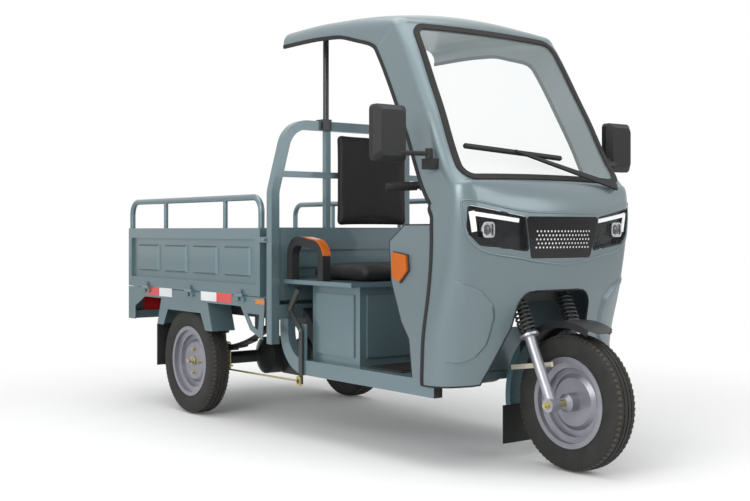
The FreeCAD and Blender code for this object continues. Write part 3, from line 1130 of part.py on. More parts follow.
# Head lamps: a deep bucket behind a clear lens on each side of a gloss panel, all in one band.
NOSE_SECTIONS = ("arch", "shelf")
lens_back = -size.lens_thick
lens = cab_band(0, lens_back, NOSE_SECTIONS).common(nose_hole(LAMP_POINTS))
bucket = cab_band(lens_back - size.seat_gap, -size.lamp_bucket,
                  NOSE_SECTIONS).common(nose_hole(LAMP_POINTS))
hollow = cab_band(size.overrun, size.lamp_wall - size.lamp_bucket, NOSE_SECTIONS)
bucket = bucket.cut(hollow.common(nose_hole(LAMP_POINTS, -size.lamp_wall)))
node("headlight_housings", pair("headlight_housings", shaped("headlight_housing", bucket)))
node("headlight_lenses", pair("headlight_lenses", shaped("headlight_lens", lens)))
gloss = cab_band(0, -size.grille_thick, NOSE_SECTIONS).common(nose_hole(GRILLE_OUTLINE))
flange = cab_band(-size.skin - size.flange_play, size.lamp_gap - size.grille_thick, NOSE_SECTIONS)
flange = flange.common(nose_hole(GRILLE_OUTLINE, size.grille_flange)).cut([lamp_hole,
                                                                           mirrored_shape(lamp_hole)])
gloss = gloss.fuse(flange)
node("grille_panel", shaped("grille_panel", gloss))


def side_slab(points, low, high):
    """A flat piece seen from the side: corners (x, z), between two places across."""
    corners = [Vector(x, low, z) for x, z in points]
    return Part.Face(Part.makePolygon(corners + corners[:1])).extrude(Vector(0, high - low, 0))


def block(along_x, along_y, along_z):
    """A block as a plain shape, between two limits on each axis."""
    lows, highs = zip(along_x, along_y, along_z)
    return Part.makeBox(*(high - low for low, high in zip(lows, highs)), Vector(*lows))


def cab_core(offset, names):
    """The room inside the shell, or round it with an outward offset, as one solid."""
    def ring_at(place):
        edges = cab_section(place, offset)
        feet = (edges[-1].Vertexes[-1].Point, edges[0].Vertexes[0].Point)
        return Part.Wire(edges + [Part.LineSegment(*feet).toShape()])

    return lofted(ring_at, names)


# Roof struts: a saddle on the top tube of the headboard, an upright and a foot under the roof.
def roof_strut():
    x, y = size.hoop_x + size.strut_ahead, -size.strut_y
    tube_front, tube_top = value(HOOP_FRONT), size.hoop_top_z + size.hoop_tube / 2
    low = tube_top + size.seat_gap
    across = (y - size.strut_clamp / 2, y + size.strut_clamp / 2)
    sag = size.strut_y ** 2 / (2 * size.rear_roof_bow)
    under = size.rear_roof_z - size.skin - sag - size.strut_foot
    pieces = [block((value(HOOP_BACK), x + size.strut_radius), across, (low, low + size.strut_foot)),
              block((tube_front + size.seat_gap, x + size.strut_radius), across,
                    (tube_top - size.hoop_tube, low + size.strut_foot)),
              Part.makeCylinder(size.strut_radius, under + size.strut_foot - low, Vector(x, y, low)),
              Part.makeCylinder(size.strut_foot_radius, 2 * size.strut_foot, Vector(x, y, under))]
    roof = cab_band(size.strut_clamp, -size.skin - size.seat_gap, ("crown", "tail"))
    return pieces[0].fuse(pieces[1:]).cut(roof)


node("roof_struts", pair("roof_struts", shaped("roof_strut", roof_strut())))

# Inner fairing: a panel across the cab behind the front wheel, beaded, with a slot for the neck,
# a dash shelf and a side wing that carries the marker lamp.
WING_LOW = value(SILL_TOP) + size.seat_gap
WING_TOP = WING_LOW + size.wing_height
WING_Y = (-size.wing_y - size.wing_sheet / 2, -size.wing_y + size.wing_sheet / 2)


def wing_points(shares):
    return [(size.wing_back_x + x * size.wing_depth, WING_LOW + z * size.wing_height) for x, z in shares]


def wing_hole(grow):
    ring = rounded([Vector(x, WING_Y[0] - size.marker_thick, z) for x, z in wing_points(MARKER_SHARES)],
                   size.lamp_radius)
    return Part.Face(ring.makeOffset2D(grow) if grow else ring).extrude(Vector(0, 2 * size.marker_thick, 0))


wing = side_slab(wing_points(WING_SHARES), *WING_Y).cut(wing_hole(size.marker_gap))
marker = wing_hole(0)
fairing_half = size.wing_y - size.wing_sheet / 2
fairing = [block((size.shield_x - size.shield_sheet, size.shield_x), (-fairing_half, fairing_half),
                 (WING_LOW, size.shield_top_z)),
           block((size.shield_x + size.head_radius, size.wing_back_x + size.wing_depth),
                 (-fairing_half, fairing_half), (WING_TOP - size.shield_bead, WING_TOP)),
                 mirrored_shape(wing)]
for share in SHIELD_BEAD_SHARES:
    low = WING_LOW + share * (size.shield_top_z - WING_LOW)
    fairing.append(block((size.shield_x - size.shield_sheet - size.shield_bead,
                          size.shield_x - size.shield_sheet / 2),
                         (-fairing_half + 2 * size.shield_bead, fairing_half - 2 * size.shield_bead),
                         (low, low + 2 * size.shield_bead)))
neck_slot = block((size.shield_x - size.shield_slot_half, size.shield_x + size.overrun),
                  (-size.shield_slot_half, size.shield_slot_half),
                  (size.neck_knee_z - size.neck_height, size.shield_top_z + size.overrun))
node("leg_shield", shaped("leg_shield", wing.fuse(fairing).cut(neck_slot)))
lenses = [shaped("marker_lens", marker), shaped("arm_reflector", arm_lens)]
node("amber_lenses", pair("amber_lenses", group("amber_lens", lenses)))

# Cargo bed: a floor sheet on sills and bearers, with corner plates and a bumper at the rear,
# a bracket at the front of each side, and the knuckles and pins of the gate hinges.
HINGE_Z = "bed_floor_z + gate_lift"
HINGE_Y = "bed_half + hinge_out"
GATE_FRONT = "bed_front_x - gate_front_gap"
BED_IN = "bed_half - bed_sill_width"
FLOOR_UNDER = "bed_floor_z - bed_sheet"
SILL_RUN = ("bed_sill_z", "bed_floor_z - bed_sheet / 2")
bed = [box("bed_floor", ("bed_rear_x", "bed_front_x"), ("-bed_half", "bed_half"),
           (FLOOR_UNDER, "bed_floor_z")),
       box("bed_rear_beam", ("bed_rear_x", "bed_rear_x + bed_sill_width"), (f"-({BED_IN})", BED_IN),
           SILL_RUN),
       box("bed_front_beam", ("bed_front_x - bed_sill_width", "bed_front_x"), (f"-({BED_IN})", BED_IN),
           SILL_RUN),
       box("bumper", ("bed_rear_x", "bed_rear_x + bumper_tube"), ("-bed_half", "bed_half"),
           ("corner_drop_z", "corner_drop_z + bumper_tube"))]
for number, share in enumerate(CROSS_SHARES):
    middle = f"rail_rear_x + {share} * (rail_front_x - rail_rear_x)"
    bed.append(box(f"bearer_{number}", (f"{middle} - cross_width", f"{middle} + cross_width"),
                   (f"-({BED_IN})", BED_IN),
                   ("rail_top + seat_gap", "bed_floor_z - bed_sheet / 2")))
bed_right = [box("bed_sill", ("bed_rear_x", "bed_front_x"), ("-bed_half", f"-({BED_IN})"), SILL_RUN),
             box("corner_side", ("bed_rear_x", "bed_rear_x + corner_depth"),
                 ("-bed_half", "corner_sheet - bed_half"),
                 ("corner_drop_z", "bed_sill_z + overrun")),
             box("corner_back", ("bed_rear_x", "bed_rear_x + corner_sheet"),
                 ("-bed_half", "corner_depth - bed_half"),
                 ("corner_drop_z", "bed_sill_z + overrun"))]
gusset = [(size.bed_rear_x + size.corner_depth - size.overrun + x * size.gusset_length,
           size.bed_sill_z + size.overrun - z * size.gusset_height) for x, z in ((0, 0), (0, 1), (1, 0))]
bed_right.append(shaped("corner_gusset",
                        side_slab(gusset, -size.bed_half, size.corner_sheet - size.bed_half)))


def bracket_points(shrink):
    centre = [sum(corner[axis] for corner in BRACKET_SHARES) / len(BRACKET_SHARES) for axis in (0, 1)]
    places = [[middle + shrink * (share - middle) for share, middle in zip(corner, centre)]
              for corner in BRACKET_SHARES]
    return [(size.bed_front_x + (x - 1) * size.bracket_length,
             size.bed_sill_z + size.overrun - z * size.bracket_drop)
            for x, z in places]


across = (-size.bed_half, size.bracket_sheet - size.bed_half)
bracket = side_slab(bracket_points(1),
                    *across).cut(side_slab(bracket_points(BRACKET_WINDOW_SHARE), *across))
bed_right.append(shaped("bed_bracket", bracket))


def hinge_runs(middle):
    """Where the bed's two knuckles of a hinge lie, and the gate's one between them."""
    inner, outer = "knuckle_length / 2 + knuckle_gap", "3 * knuckle_length / 2 + knuckle_gap"
    return (((f"{middle} - ({outer})", f"{middle} - ({inner})"),
             (f"{middle} + {inner}", f"{middle} + {outer}")),
            (f"{middle} - knuckle_length / 2", f"{middle} + knuckle_length / 2"))


def hinge_leaf(name, axis, run, out, face, rise):
    """The leaf that ties a knuckle to the face of a sill or gate; out is the hinge's place."""
    sides = {axis: run, "y" if axis == "x" else "x": (out, face), "z": rise}
    return box(name, sides["x"], sides["y"], sides["z"])


def bed_hinge(name, axis, middle, out, face):
    outer_runs = hinge_runs(middle)[0]
    pieces = [rod(f"{name}_pin", axis, "hinge_pin_radius", (outer_runs[0][0], outer_runs[1][1]),
                  (out, HINGE_Z))]
    for number, run in enumerate(outer_runs):
        pieces.append(rod(f"{name}_knuckle_{number}", axis, "knuckle_radius", run, (out, HINGE_Z)))
        pieces.append(hinge_leaf(f"{name}_leaf_{number}", axis, run, out, face,
                                 (f"{HINGE_Z} - hinge_leaf_drop", HINGE_Z)))
    return pieces


def gate_hinge(name, axis, middle, out, face):
    run = hinge_runs(middle)[1]
    return [rod(f"{name}_knuckle", axis, "knuckle_radius", run, (out, HINGE_Z)),
            hinge_leaf(f"{name}_leaf", axis, run, out, face, (HINGE_Z, f"{HINGE_Z} + hinge_leaf_drop"))]


SIDE_HINGES = [f"bed_rear_x + {share} * ({GATE_FRONT} - bed_rear_x)" for share in HINGE_SHARES]
TAIL_HINGES = [f"({share} - 0.5) * 2 * tailgate_half" for share in TAIL_HINGE_SHARES]
SIDE_HINGE = (f"-({HINGE_Y})", "overrun - bed_half")
TAIL_HINGE = ("bed_rear_x - hinge_out", "bed_rear_x + overrun")
for number, middle in enumerate(SIDE_HINGES):
    bed_right += bed_hinge(f"side_hinge_{number}", "x", middle, *SIDE_HINGE)
for number, middle in enumerate(TAIL_HINGES):
    bed += bed_hinge(f"tail_hinge_{number}", "y", middle, *TAIL_HINGE)
right_side = fuse("bed_right", bed_right)
node("cargo_bed", fuse("cargo_bed", bed + [right_side, mirrored("bed_left", right_side)]))


# Gates: a frame of flat tube round a recessed sheet with raised pressings.
def pressings(run, low, high, out):
    """Shallow raised fields in a row along a sheet, smaller on their face than at their root."""
    start, stop = run
    pitch = (stop - start - size.gate_press_gap) / GATE_PRESS_COUNT
    fields = []
    for number in range(GATE_PRESS_COUNT):
        left = start + size.gate_press_gap + number * pitch
        rings = []
        for inset, proud in ((0, -size.gate_sheet / 2), (size.gate_press, size.gate_press)):
            corners = [(left + inset, low + inset),
                       (left + pitch - size.gate_press_gap - inset, low + inset),
                       (left + pitch - size.gate_press_gap - inset, high - inset),
                       (left + inset, high - inset)]
            ring = [Vector(x, out - proud, z) for x, z in corners]
            rings.append(Part.makePolygon(ring + ring[:1]))
        fields.append(Part.makeLoft(rings, True, True))
    return fields


GATE_LOW = HINGE_Z
GATE_SIDE = ("-bed_half", "gate_thick - bed_half")
gate = [box("gate_low_bar", ("bed_rear_x", GATE_FRONT), GATE_SIDE, (GATE_LOW, f"{GATE_LOW} + gate_bar")),
        box("gate_top_bar", ("bed_rear_x", GATE_FRONT), GATE_SIDE, ("gate_top_z - gate_bar", "gate_top_z")),
        box("gate_rear_post", ("bed_rear_x", "bed_rear_x + gate_post"), GATE_SIDE,
            (GATE_LOW, "gate_top_z")),
        box("gate_front_post", (f"{GATE_FRONT} - gate_post", GATE_FRONT), GATE_SIDE,
            (GATE_LOW, "gate_top_z")),
        box("gate_field", ("bed_rear_x + gate_post / 2", f"{GATE_FRONT} - gate_post / 2"),
            ("gate_recess - bed_half", "gate_recess + gate_sheet - bed_half"),
            (f"{GATE_LOW} + gate_bar / 2", "gate_top_z - gate_bar / 2"))]
fields = pressings((value("bed_rear_x + gate_post"), value(f"{GATE_FRONT} - gate_post")),
                   value(f"{GATE_LOW} + gate_bar + gate_press_gap / 2"),
                   value("gate_top_z - gate_bar - gate_press_gap / 2"),
                   size.gate_recess - size.bed_half)
gate += [shaped(f"gate_press_{number}", field) for number, field in enumerate(fields)]
rail_y = size.gate_thick / 2 - size.bed_half
rail_ends = [size.bed_rear_x + size.guard_rail_radius, value(GATE_FRONT) - size.guard_rail_radius]
rail_stops = [(rail_ends[0], size.gate_top_z - size.overrun), (rail_ends[0], size.guard_rail_z),
              (rail_ends[1], size.guard_rail_z), (rail_ends[1], size.gate_top_z - size.overrun)]
gate.append(shaped("guard_rail",
                   round_bar([Vector(x, rail_y, z) for x, z in rail_stops], size.guard_rail_bend,
                                           size.guard_rail_radius)))
for number, share in enumerate(RAIL_POST_SHARES):
    gate.append(rod(f"guard_post_{number}", "z", "guard_post_radius",
                    ("gate_top_z - overrun", "guard_rail_z"),
                    (f"bed_rear_x + {share} * ({GATE_FRONT} - bed_rear_x)", "gate_thick / 2 - bed_half")))
PEG_X = f"{HOOP_BACK} - gate_front_gap / 4"
LATCH_Z = ("latch_z - latch_width / 2", "latch_z + latch_width / 2")
gate.append(box("latch_strap", (f"{GATE_FRONT} - latch_height", f"{PEG_X} + latch_width / 2"),
                ("-bed_half - part_gap - latch_plate", "-bed_half - part_gap"), LATCH_Z))
gate.append(box("latch_pad", (f"{GATE_FRONT} - latch_height", f"{GATE_FRONT} - latch_width"),
                ("-bed_half - part_gap - latch_plate", "overrun - bed_half"), LATCH_Z))
bores = [rod("latch_hole", "y", "peg_radius + latch_play", ("-bed_half - latch_height", "-bed_half"),
             (PEG_X, "latch_z"))]
for number, middle in enumerate(SIDE_HINGES):
    gate += gate_hinge(f"gate_hinge_{number}", "x", middle, *SIDE_HINGE)
    bores.append(rod(f"gate_hinge_bore_{number}", "x", "hinge_pin_radius + run_fit", hinge_runs(middle)[1],
                     (SIDE_HINGE[0], HINGE_Z)))
side_gate = cut("side_gate", fuse("side_gate_parts", gate), bores)
node("side_gate_right", side_gate)
node("side_gate_left", mirrored("side_gate_left", side_gate))

TAIL_X = ("bed_rear_x", "bed_rear_x + gate_thick")
tail = [box("tail_low_bar", TAIL_X, ("-tailgate_half", "tailgate_half"),
            (GATE_LOW, f"{GATE_LOW} + gate_bar")),
        box("tail_top_bar", TAIL_X, ("-tailgate_half", "tailgate_half"),
            ("gate_top_z - gate_bar", "gate_top_z")),
        box("tail_right_post", TAIL_X, ("-tailgate_half", "gate_post - tailgate_half"),
            (GATE_LOW, "gate_top_z")),
        box("tail_left_post", TAIL_X, ("tailgate_half - gate_post", "tailgate_half"),
            (GATE_LOW, "gate_top_z")),
        box("tail_field", ("bed_rear_x + gate_recess", "bed_rear_x + gate_recess + gate_sheet"),
            ("gate_post / 2 - tailgate_half", "tailgate_half - gate_post / 2"),
            (f"{GATE_LOW} + gate_bar / 2", "gate_top_z - gate_bar / 2"))]
fields = pressings((size.gate_post - size.tailgate_half, size.tailgate_half - size.gate_post),
                   value(f"{GATE_LOW} + gate_bar + gate_press_gap / 2"),
                   value("gate_top_z - gate_bar - gate_press_gap / 2"), 0)
for number, field in enumerate(fields):
    field.rotate(Vector(), Vector(0, 0, 1), -90)
    field.translate(Vector(size.bed_rear_x + size.gate_recess, 0, 0))
    tail.append(shaped(f"tail_press_{number}", field))
bores = []
for number, middle in enumerate(TAIL_HINGES):
    tail += gate_hinge(f"tail_gate_hinge_{number}", "y", middle, *TAIL_HINGE)
    bores.append(rod(f"tail_bore_{number}", "y", "hinge_pin_radius + run_fit", hinge_runs(middle)[1],
                     (TAIL_HINGE[0], HINGE_Z)))
node("tailgate", cut("tailgate", fuse("tailgate_parts", tail), bores))


# Rear fenders: a folded skin outside each wheel with returns at both ends, under the bed's sill,
# and a rubber flap below the rear return.
def fender():
    top, low = size.bed_sill_z - size.seat_gap, size.fender_low_z
    axle_x = value(REAR_AXLE_X) + size.fender_shift
    skin = [(axle_x - size.fender_half_low, low), (axle_x - size.fender_half_top, top),
            (axle_x + size.fender_half_top, top), (axle_x + size.fender_half_low, low)]
    arch = [(axle_x - size.arch_half_low, low - size.overrun),
            (axle_x - size.arch_half_top, top - size.arch_drop),
            (axle_x + size.arch_half_top, top - size.arch_drop),
            (axle_x + size.arch_half_low, low - size.overrun)]
    out, deep = -size.fender_y - size.fender_sheet, size.fender_depth - size.fender_y
    pieces = [side_slab(skin, out, -size.fender_y).cut(side_slab(arch, out, -size.fender_y))]
    for foot, head, inward in ((skin[0], skin[1], 1), (skin[3], skin[2], -1)):
        lap = inward * size.fender_sheet
        pieces.append(side_slab([foot, head, (head[0] + lap, head[1]), (foot[0] + lap, foot[1])], out,
                                deep))
    return pieces[0].fuse(pieces[1:])


node("rear_fenders", pair("rear_fenders", shaped("rear_fender", fender())))
FLAP_X = f"{REAR_AXLE_X} + fender_shift - fender_half_low"
flap = box("rear_flap", (f"{FLAP_X} - flap_thick / 2", f"{FLAP_X} + flap_thick / 2"),
           ("-fender_y - fender_sheet", "flap_width - fender_y"), ("flap_low_z", "fender_low_z - seat_gap"))
node("rear_mud_flaps", pair("rear_mud_flaps", flap))
LAMP_Y = "corner_depth + part_gap - bed_half"
tail_lamp = box("tail_lamp", ("bed_rear_x", "bed_rear_x + tail_lamp_depth"),
                (LAMP_Y, f"{LAMP_Y} + tail_lamp_width"),
                ("corner_drop_z + bumper_tube + seat_gap",
                 "corner_drop_z + bumper_tube + seat_gap + tail_lamp_height"))
node("tail_lights", pair("tail_lights", tail_lamp))

# Fork, in the frame of its leaned legs: sliders with a bore for the stanchions and a cup for the
# springs, then the stem with its two yokes, the stanchions and the clamp of the handlebar.
LEG = ("0", "-leg_half")
CUP_TOP = "slider_top + cup_height"
LUG_HALF = "slider_radius + overrun"
slider = [rod("slider_tube", "z", "slider_radius", ("0", "slider_top"), LEG),
          rod("slider_lug", "y", "lug_radius", (f"-leg_half - ({LUG_HALF})", f"{LUG_HALF} - leg_half"),
              ("0", "0")),
          rod("slider_cup", "z", "cup_radius", ("slider_top", CUP_TOP), LEG)]
slider = cut("slider", fuse("slider_parts", slider),
             [rod("slider_bore", "z", "stanchion_radius + run_fit", ("bore_floor", f"{CUP_TOP} + overrun"),
                  LEG),
              rod("slider_axle_hole", "y", "axle_radius + seat_gap",
                  ("-leg_half - lug_radius", "lug_radius - leg_half"), ("0", "0"))])
node("fork_sliders", leaned(pair("fork_sliders", slider)))
stem = [rod("stem", "z", "stem_radius", ("yoke_low", "stem_top + overrun"), (AXIS_BACK, "0")),
        cut("bar_clamp",
            box("clamp_block", (f"{AXIS_BACK} - clamp_size / 2", f"{AXIS_BACK} + clamp_size / 2"),
                             ("-clamp_size / 2", "clamp_size / 2"), ("stem_top", "stem_top + clamp_size")),
            [rod("clamp_bore", "y", "bar_radius + seat_gap", ("-clamp_size", "clamp_size"),
                 (AXIS_BACK, "stem_top + clamp_size / 2"))])]
for name, low in (("low", "yoke_low"), ("high", "yoke_high")):
    stem.append(box(f"yoke_{name}", ("-steer_back - yoke_reach", "yoke_reach"),
                    ("-leg_half - yoke_reach", "leg_half + yoke_reach"), (low, f"{low} + yoke_thick")))
for side in (-1, 1):
    stem.append(rod(f"stanchion_{side}", "z", "stanchion_radius",
                    ("stanchion_low", "yoke_high + yoke_thick"),
                    ("0", f"{side} * leg_half")))
node("steering_stem", leaned(fuse("steering_stem", stem)))


# Fork springs: one wire each, wound round the stanchion from the cup to the lower yoke.
def biarc(start, start_way, stop, stop_way):
    """Two arcs that leave a point and reach the next along given directions."""
    chord, ways = stop - start, start_way + stop_way
    bend = 2 * (1 - start_way.dot(stop_way))
    along_ways = chord.dot(ways)
    reach = (math.sqrt(along_ways ** 2 + bend * chord.dot(chord)) - along_ways) / bend
    first, last = start + start_way * reach, stop - stop_way * reach
    joint = (first + last) / 2
    arcs = []
    for one, knee, two in ((start, first, joint), (joint, last, stop)):
        half_chord = (two - one).Length / 2
        turn = (knee - one).getAngle(two - knee)
        middle = (one + two) / 2
        top = middle + (knee - middle).normalize() * half_chord * math.tan(turn / 4)
        arcs.append(Part.Arc(one, top, two).toShape())
    return arcs


def coil(low, high, count):
    rise = high - low
    slope = rise / count / (2 * math.pi * size.coil_radius)

    def at(angle):
        place = Vector(math.cos(angle), math.sin(angle), 0) * size.coil_radius
        return place + Vector(0, 0, low + rise * angle / (2 * math.pi * count))

    def way(angle):
        return Vector(-math.sin(angle), math.cos(angle), slope).normalize()

    steps = [number * math.pi / 2 for number in range(4 * count + 1)]
    edges = []
    for here, there in zip(steps, steps[1:]):
        edges += biarc(at(here), way(here), at(there), way(there))
    tail_run = 2 * size.coil_wire
    ends = [at(0) - way(0) * tail_run, at(steps[-1]) + way(steps[-1]) * tail_run]
    wire = Part.Wire([Part.LineSegment(ends[0], at(0)).toShape()] + edges
                     + [Part.LineSegment(at(steps[-1]), ends[1]).toShape()])
    ring = Part.Wire(Part.makeCircle(size.coil_wire, ends[0], way(0)))
    points = [at(number * math.pi / 18) for number in range(36 * count + 1)]
    gap = min(one.distanceToPoint(two) for number, one in enumerate(points) for two in points[number + 18:])
    print("spring, least gap between its turns", round(gap - 2 * size.coil_wire, 2))
    return wire.makePipeShell([ring], True, False)


seat = size.coil_wire + size.seat_gap + size.coil_rest
winding = coil(value(CUP_TOP) + seat, size.yoke_low - seat, COIL_TURNS)
winding.translate(Vector(0, -size.leg_half, 0))
node("fork_springs", leaned(pair("fork_springs", shaped("fork_spring", winding))))

# Front axle: a bolt through the lugs with spacers beside the hub, nuts, and the brake's plate.
spacer_run = ("part_gap + hub_half", f"leg_half - ({LUG_HALF}) - seat_gap")
nut_run = (f"leg_half + {LUG_HALF} + seat_gap", f"leg_half + {LUG_HALF} + axle_nut_length")
axle = [rod("front_bolt", "y", "axle_radius", ("-leg_half - slider_radius - 2 * axle_nut_length",
                                              "leg_half + slider_radius + 2 * axle_nut_length"),
                                              ("0", "0")),
        rod("brake_disc_plate", "y", "brake_plate_radius",
            ("part_gap + hub_half", "part_gap + hub_half + brake_plate_sheet"), ("0", "0"))]
for side in (-1, 1):
    for name, (low, high) in (("spacer", spacer_run), ("axle_nut", nut_run)):
        run = sorted((f"{side} * ({low})", f"{side} * ({high})"), key=value)
        if name == "spacer":
            axle.append(rod(f"{name}_{side}", "y", "spacer_radius", run, ("0", "0")))
        else:
            axle.append(hexagon(f"{name}_{side}", "y", "axle_nut_radius", run, ("0", "0")))
node("front_axle", leaned(fuse("front_axle", axle)))


# Front mudguard: a rolled sheet with turned lips over the wheel, a beak in front, and a stay to
# each slider.
def guard_point(radius, turn):
    turn = math.radians(turn)
    return Vector(size.front_axle_x + radius * math.cos(turn), 0,
                  size.tyre_radius + radius * math.sin(turn))


def mudguard():
    inner, outer = size.guard_radius, size.guard_radius + size.guard_sheet
    half, lip = size.guard_half, size.guard_lip
    section = [(-half - size.guard_sheet, inner - lip), (-half - size.guard_sheet, outer),
               (half + size.guard_sheet, outer),
               (half + size.guard_sheet, inner - lip), (half, inner - lip), (half, inner), (-half, inner),
               (-half, inner - lip)]
    ring = []
    for y, radius in section:
        place = guard_point(radius, size.guard_start)
        ring.append(Vector(place.x, y, place.z))
    face = Part.Face(Part.makePolygon(ring + ring[:1]))
    centre = Vector(size.front_axle_x, 0, size.tyre_radius)
    band = face.revolve(centre, Vector(0, 1, 0), size.guard_sweep)
    end = size.guard_start - size.guard_sweep
    tip = guard_point(inner, end)
    ahead = Vector(math.sin(math.radians(end)), 0, -math.cos(math.radians(end)))
    out = guard_point(1, end) - guard_point(0, end)
    low, front = tip - ahead * size.overrun, tip + ahead * size.beak_length
    beak_half = half + size.guard_sheet
    corners = [(low, -beak_half), (low, beak_half), (front, beak_half * BEAK_SHARE),
               (front, -beak_half * BEAK_SHARE)]
    ring = [place + Vector(0, y, 0) for place, y in corners]
    beak = Part.Face(Part.makePolygon(ring + ring[:1])).extrude(out * size.guard_sheet)
    stays = []
    for side in (-1, 1):
        slider, rim = leaned_point(0, size.stay_low), guard_point(inner - lip / 2, size.stay_turn)
        run = (rim - slider).normalize()
        drop = Vector(-run.z, 0, run.x) * (size.stay_width / 2)
        near = beak_half
        corners = [slider + drop - run * size.stay_width, slider - drop - run * size.stay_width, rim - drop,
                   rim + drop]
        ring = [point + Vector(0, side * (near - size.overrun / 2), 0) for point in corners]
        stays.append(Part.Face(Part.makePolygon(ring + ring[:1])).extrude(Vector(0, side * size.stay_thick,
                                                                                 0)))
        boss_end = size.leg_half
        stays.append(Part.makeCylinder(size.stay_width / 2, boss_end - near,
                                       slider + Vector(0, side * near, 0),
                                       Vector(0, side, 0)))
    sliders = [Part.makeCylinder(size.slider_radius + size.seat_gap, size.slider_top,
                                 leaned_point(0, 0) + Vector(0, side * size.leg_half, 0),
                                 leaned_point(0, 1) - leaned_point(0, 0)) for side in (-1, 1)]
    return band.fuse([beak] + stays).cut(sliders)


node("front_mudguard", shaped("front_mudguard", mudguard()))
flap_top = guard_point(size.guard_radius, size.guard_start)
apron = block((flap_top.x - size.apron_thick / 2, flap_top.x + size.apron_thick / 2),
              (-size.apron_half, size.apron_half),
              (size.apron_low_z, flap_top.z - size.seat_gap))
below = mudguard()
node("front_mud_flap", shaped("front_mud_flap", apron.cut(below)))

# Handlebar: one bent tube in the clamp of the stem, with a grip on its left end and the perch of
# the brake lever on its right, beside the twist grip.
bar_middle = leaned_point(-size.steer_back, size.stem_top + size.clamp_size / 2)
bar_end = Vector(bar_middle.x - size.bar_sweep, -size.bar_half, bar_middle.z - size.bar_rise)
bar_knee = Vector(bar_middle.x, -size.bar_centre_half, bar_middle.z)
bar_points = [bar_end, bar_knee] + [Vector(point.x, -point.y, point.z) for point in (bar_knee, bar_end)]
bar_way = (bar_knee - bar_end).normalize()
bar_front = Vector(bar_way.y, -bar_way.x, 0).normalize()
END_FRAME = Placement(bar_end, Rotation(bar_front, bar_way, bar_front.cross(bar_way), "YXZ"))


def on_bar(shape):
    """Moves a shape from the frame of the right bar end: X ahead, Y along the bar, Z up."""
    shape.Placement = END_FRAME.multiply(shape.Placement)
    return shape


def bar_sleeve(radius, bore, start, length):
    sleeve = Part.makeCylinder(radius, length, Vector(0, start, 0), Vector(0, 1, 0))
    hole = Part.makeCylinder(bore, length - size.grip_end, Vector(0, start + size.grip_end, 0),
                             Vector(0, 1, 0))
    return on_bar(sleeve.cut(hole))


grip_start = -size.grip_end - size.part_gap
right_grip = bar_sleeve(size.grip_radius, size.bar_radius + size.run_fit, grip_start, size.grip_length)
left_grip = mirrored_shape(bar_sleeve(size.grip_radius, size.bar_radius + size.seat_gap, grip_start,
                                      size.grip_length))
perch_low = size.grip_length + size.perch_gap
perch_high = perch_low + size.perch_length
perch_middle = (perch_low + perch_high) / 2
ear_top = size.lever_thick
perch = Part.makeCylinder(size.perch_radius, size.perch_length, Vector(0, perch_low, 0),
                          Vector(0, 1, 0)).fuse([
    block((0, size.lever_ahead + size.lever_height), (perch_low, perch_high), (-ear_top, ear_top)),
    Part.makeCylinder(size.pivot_radius, 2 * size.lever_thick,
                      Vector(size.lever_ahead, perch_middle, ear_top))])
tube = round_bar(bar_points, size.bar_bend, size.bar_radius).fuse([on_bar(perch)])
node("handlebar", group("handlebar", [shaped("handlebar_tube", tube), shaped("left_grip", left_grip)]))
node("throttle_grip", shaped("throttle_grip", right_grip))
lever = block((size.lever_ahead - size.lever_height / 2, size.lever_ahead + size.lever_height / 2),
              (perch_middle - size.lever_length, perch_high),
              (ear_top + size.part_gap, ear_top + size.part_gap + size.lever_thick))
lever = lever.cut(Part.makeCylinder(size.pivot_radius + size.run_fit, 4 * size.lever_thick,
                                    Vector(size.lever_ahead, perch_middle, 0)))
node("front_brake_lever", shaped("front_brake_lever", on_bar(lever)))

# Foot brake: a treadle on a pin between two ears of the floor.
pedal_run = ("pedal_y - pedal_width / 2", "pedal_y + pedal_width / 2")
knuckle = rod("pedal_knuckle", "y", "pedal_knuckle_radius", pedal_run, ("pedal_x", PEDAL_Z))
reach, lean = size.pedal_length, math.radians(size.pedal_lean)
ahead, out = Vector(math.cos(lean), 0, math.sin(lean)), Vector(-math.sin(lean), 0, math.cos(lean))
heel = Vector(size.pedal_x, value(pedal_run[0]), value(PEDAL_Z))
corners = [heel, heel + ahead * reach, heel + ahead * reach + out * size.pedal_thick,
           heel + out * size.pedal_thick]
tread = Part.Face(Part.makePolygon(corners + corners[:1])).extrude(Vector(0, size.pedal_width, 0))
pedal = cut("brake_pedal", fuse("pedal_parts", [knuckle, shaped("pedal_tread", tread)]),
            [rod("pedal_bore", "y", "pivot_radius + run_fit", pedal_run, ("pedal_x", PEDAL_Z))])
node("brake_pedal", pedal)

# Hand brake: a cranked strip with a grip on a pin beside the sill, and the rod that it pulls.
BRAKE_FACE = "brake_y - brake_plate / 2"


def brake_lever():
    stops = [(size.brake_x, size.brake_foot_z), (size.brake_x, size.brake_z),
             (size.brake_bend_x, size.brake_bend_z), (size.brake_top_x, size.brake_top_z)]
    points = [Vector(x, size.brake_y, z) for x, z in stops]
    strip = flat_bar(points, size.brake_strip / 2 + size.overrun, size.brake_plate, size.brake_strip,
                     Vector(0, 1, 0))
    way = (points[3] - points[2]).normalize()
    handle = Part.makeCylinder(size.brake_grip_radius, size.brake_grip_length,
                               points[3] - way * size.brake_grip_length, way)
    pin = Part.makeCylinder(size.pull_pin_radius, size.pull_pin_length,
                            points[0] + Vector(0, -size.brake_plate / 2, size.brake_strip / 2),
                            Vector(0, -1, 0))
    hole = Part.makeCylinder(size.brake_pin_radius + size.run_fit, 2 * size.brake_plate,
                             points[1] - Vector(0, size.brake_plate, 0), Vector(0, 1, 0))
    return strip.fuse([handle, pin]).cut(hole)


node("hand_brake_lever", shaped("hand_brake_lever", brake_lever()))


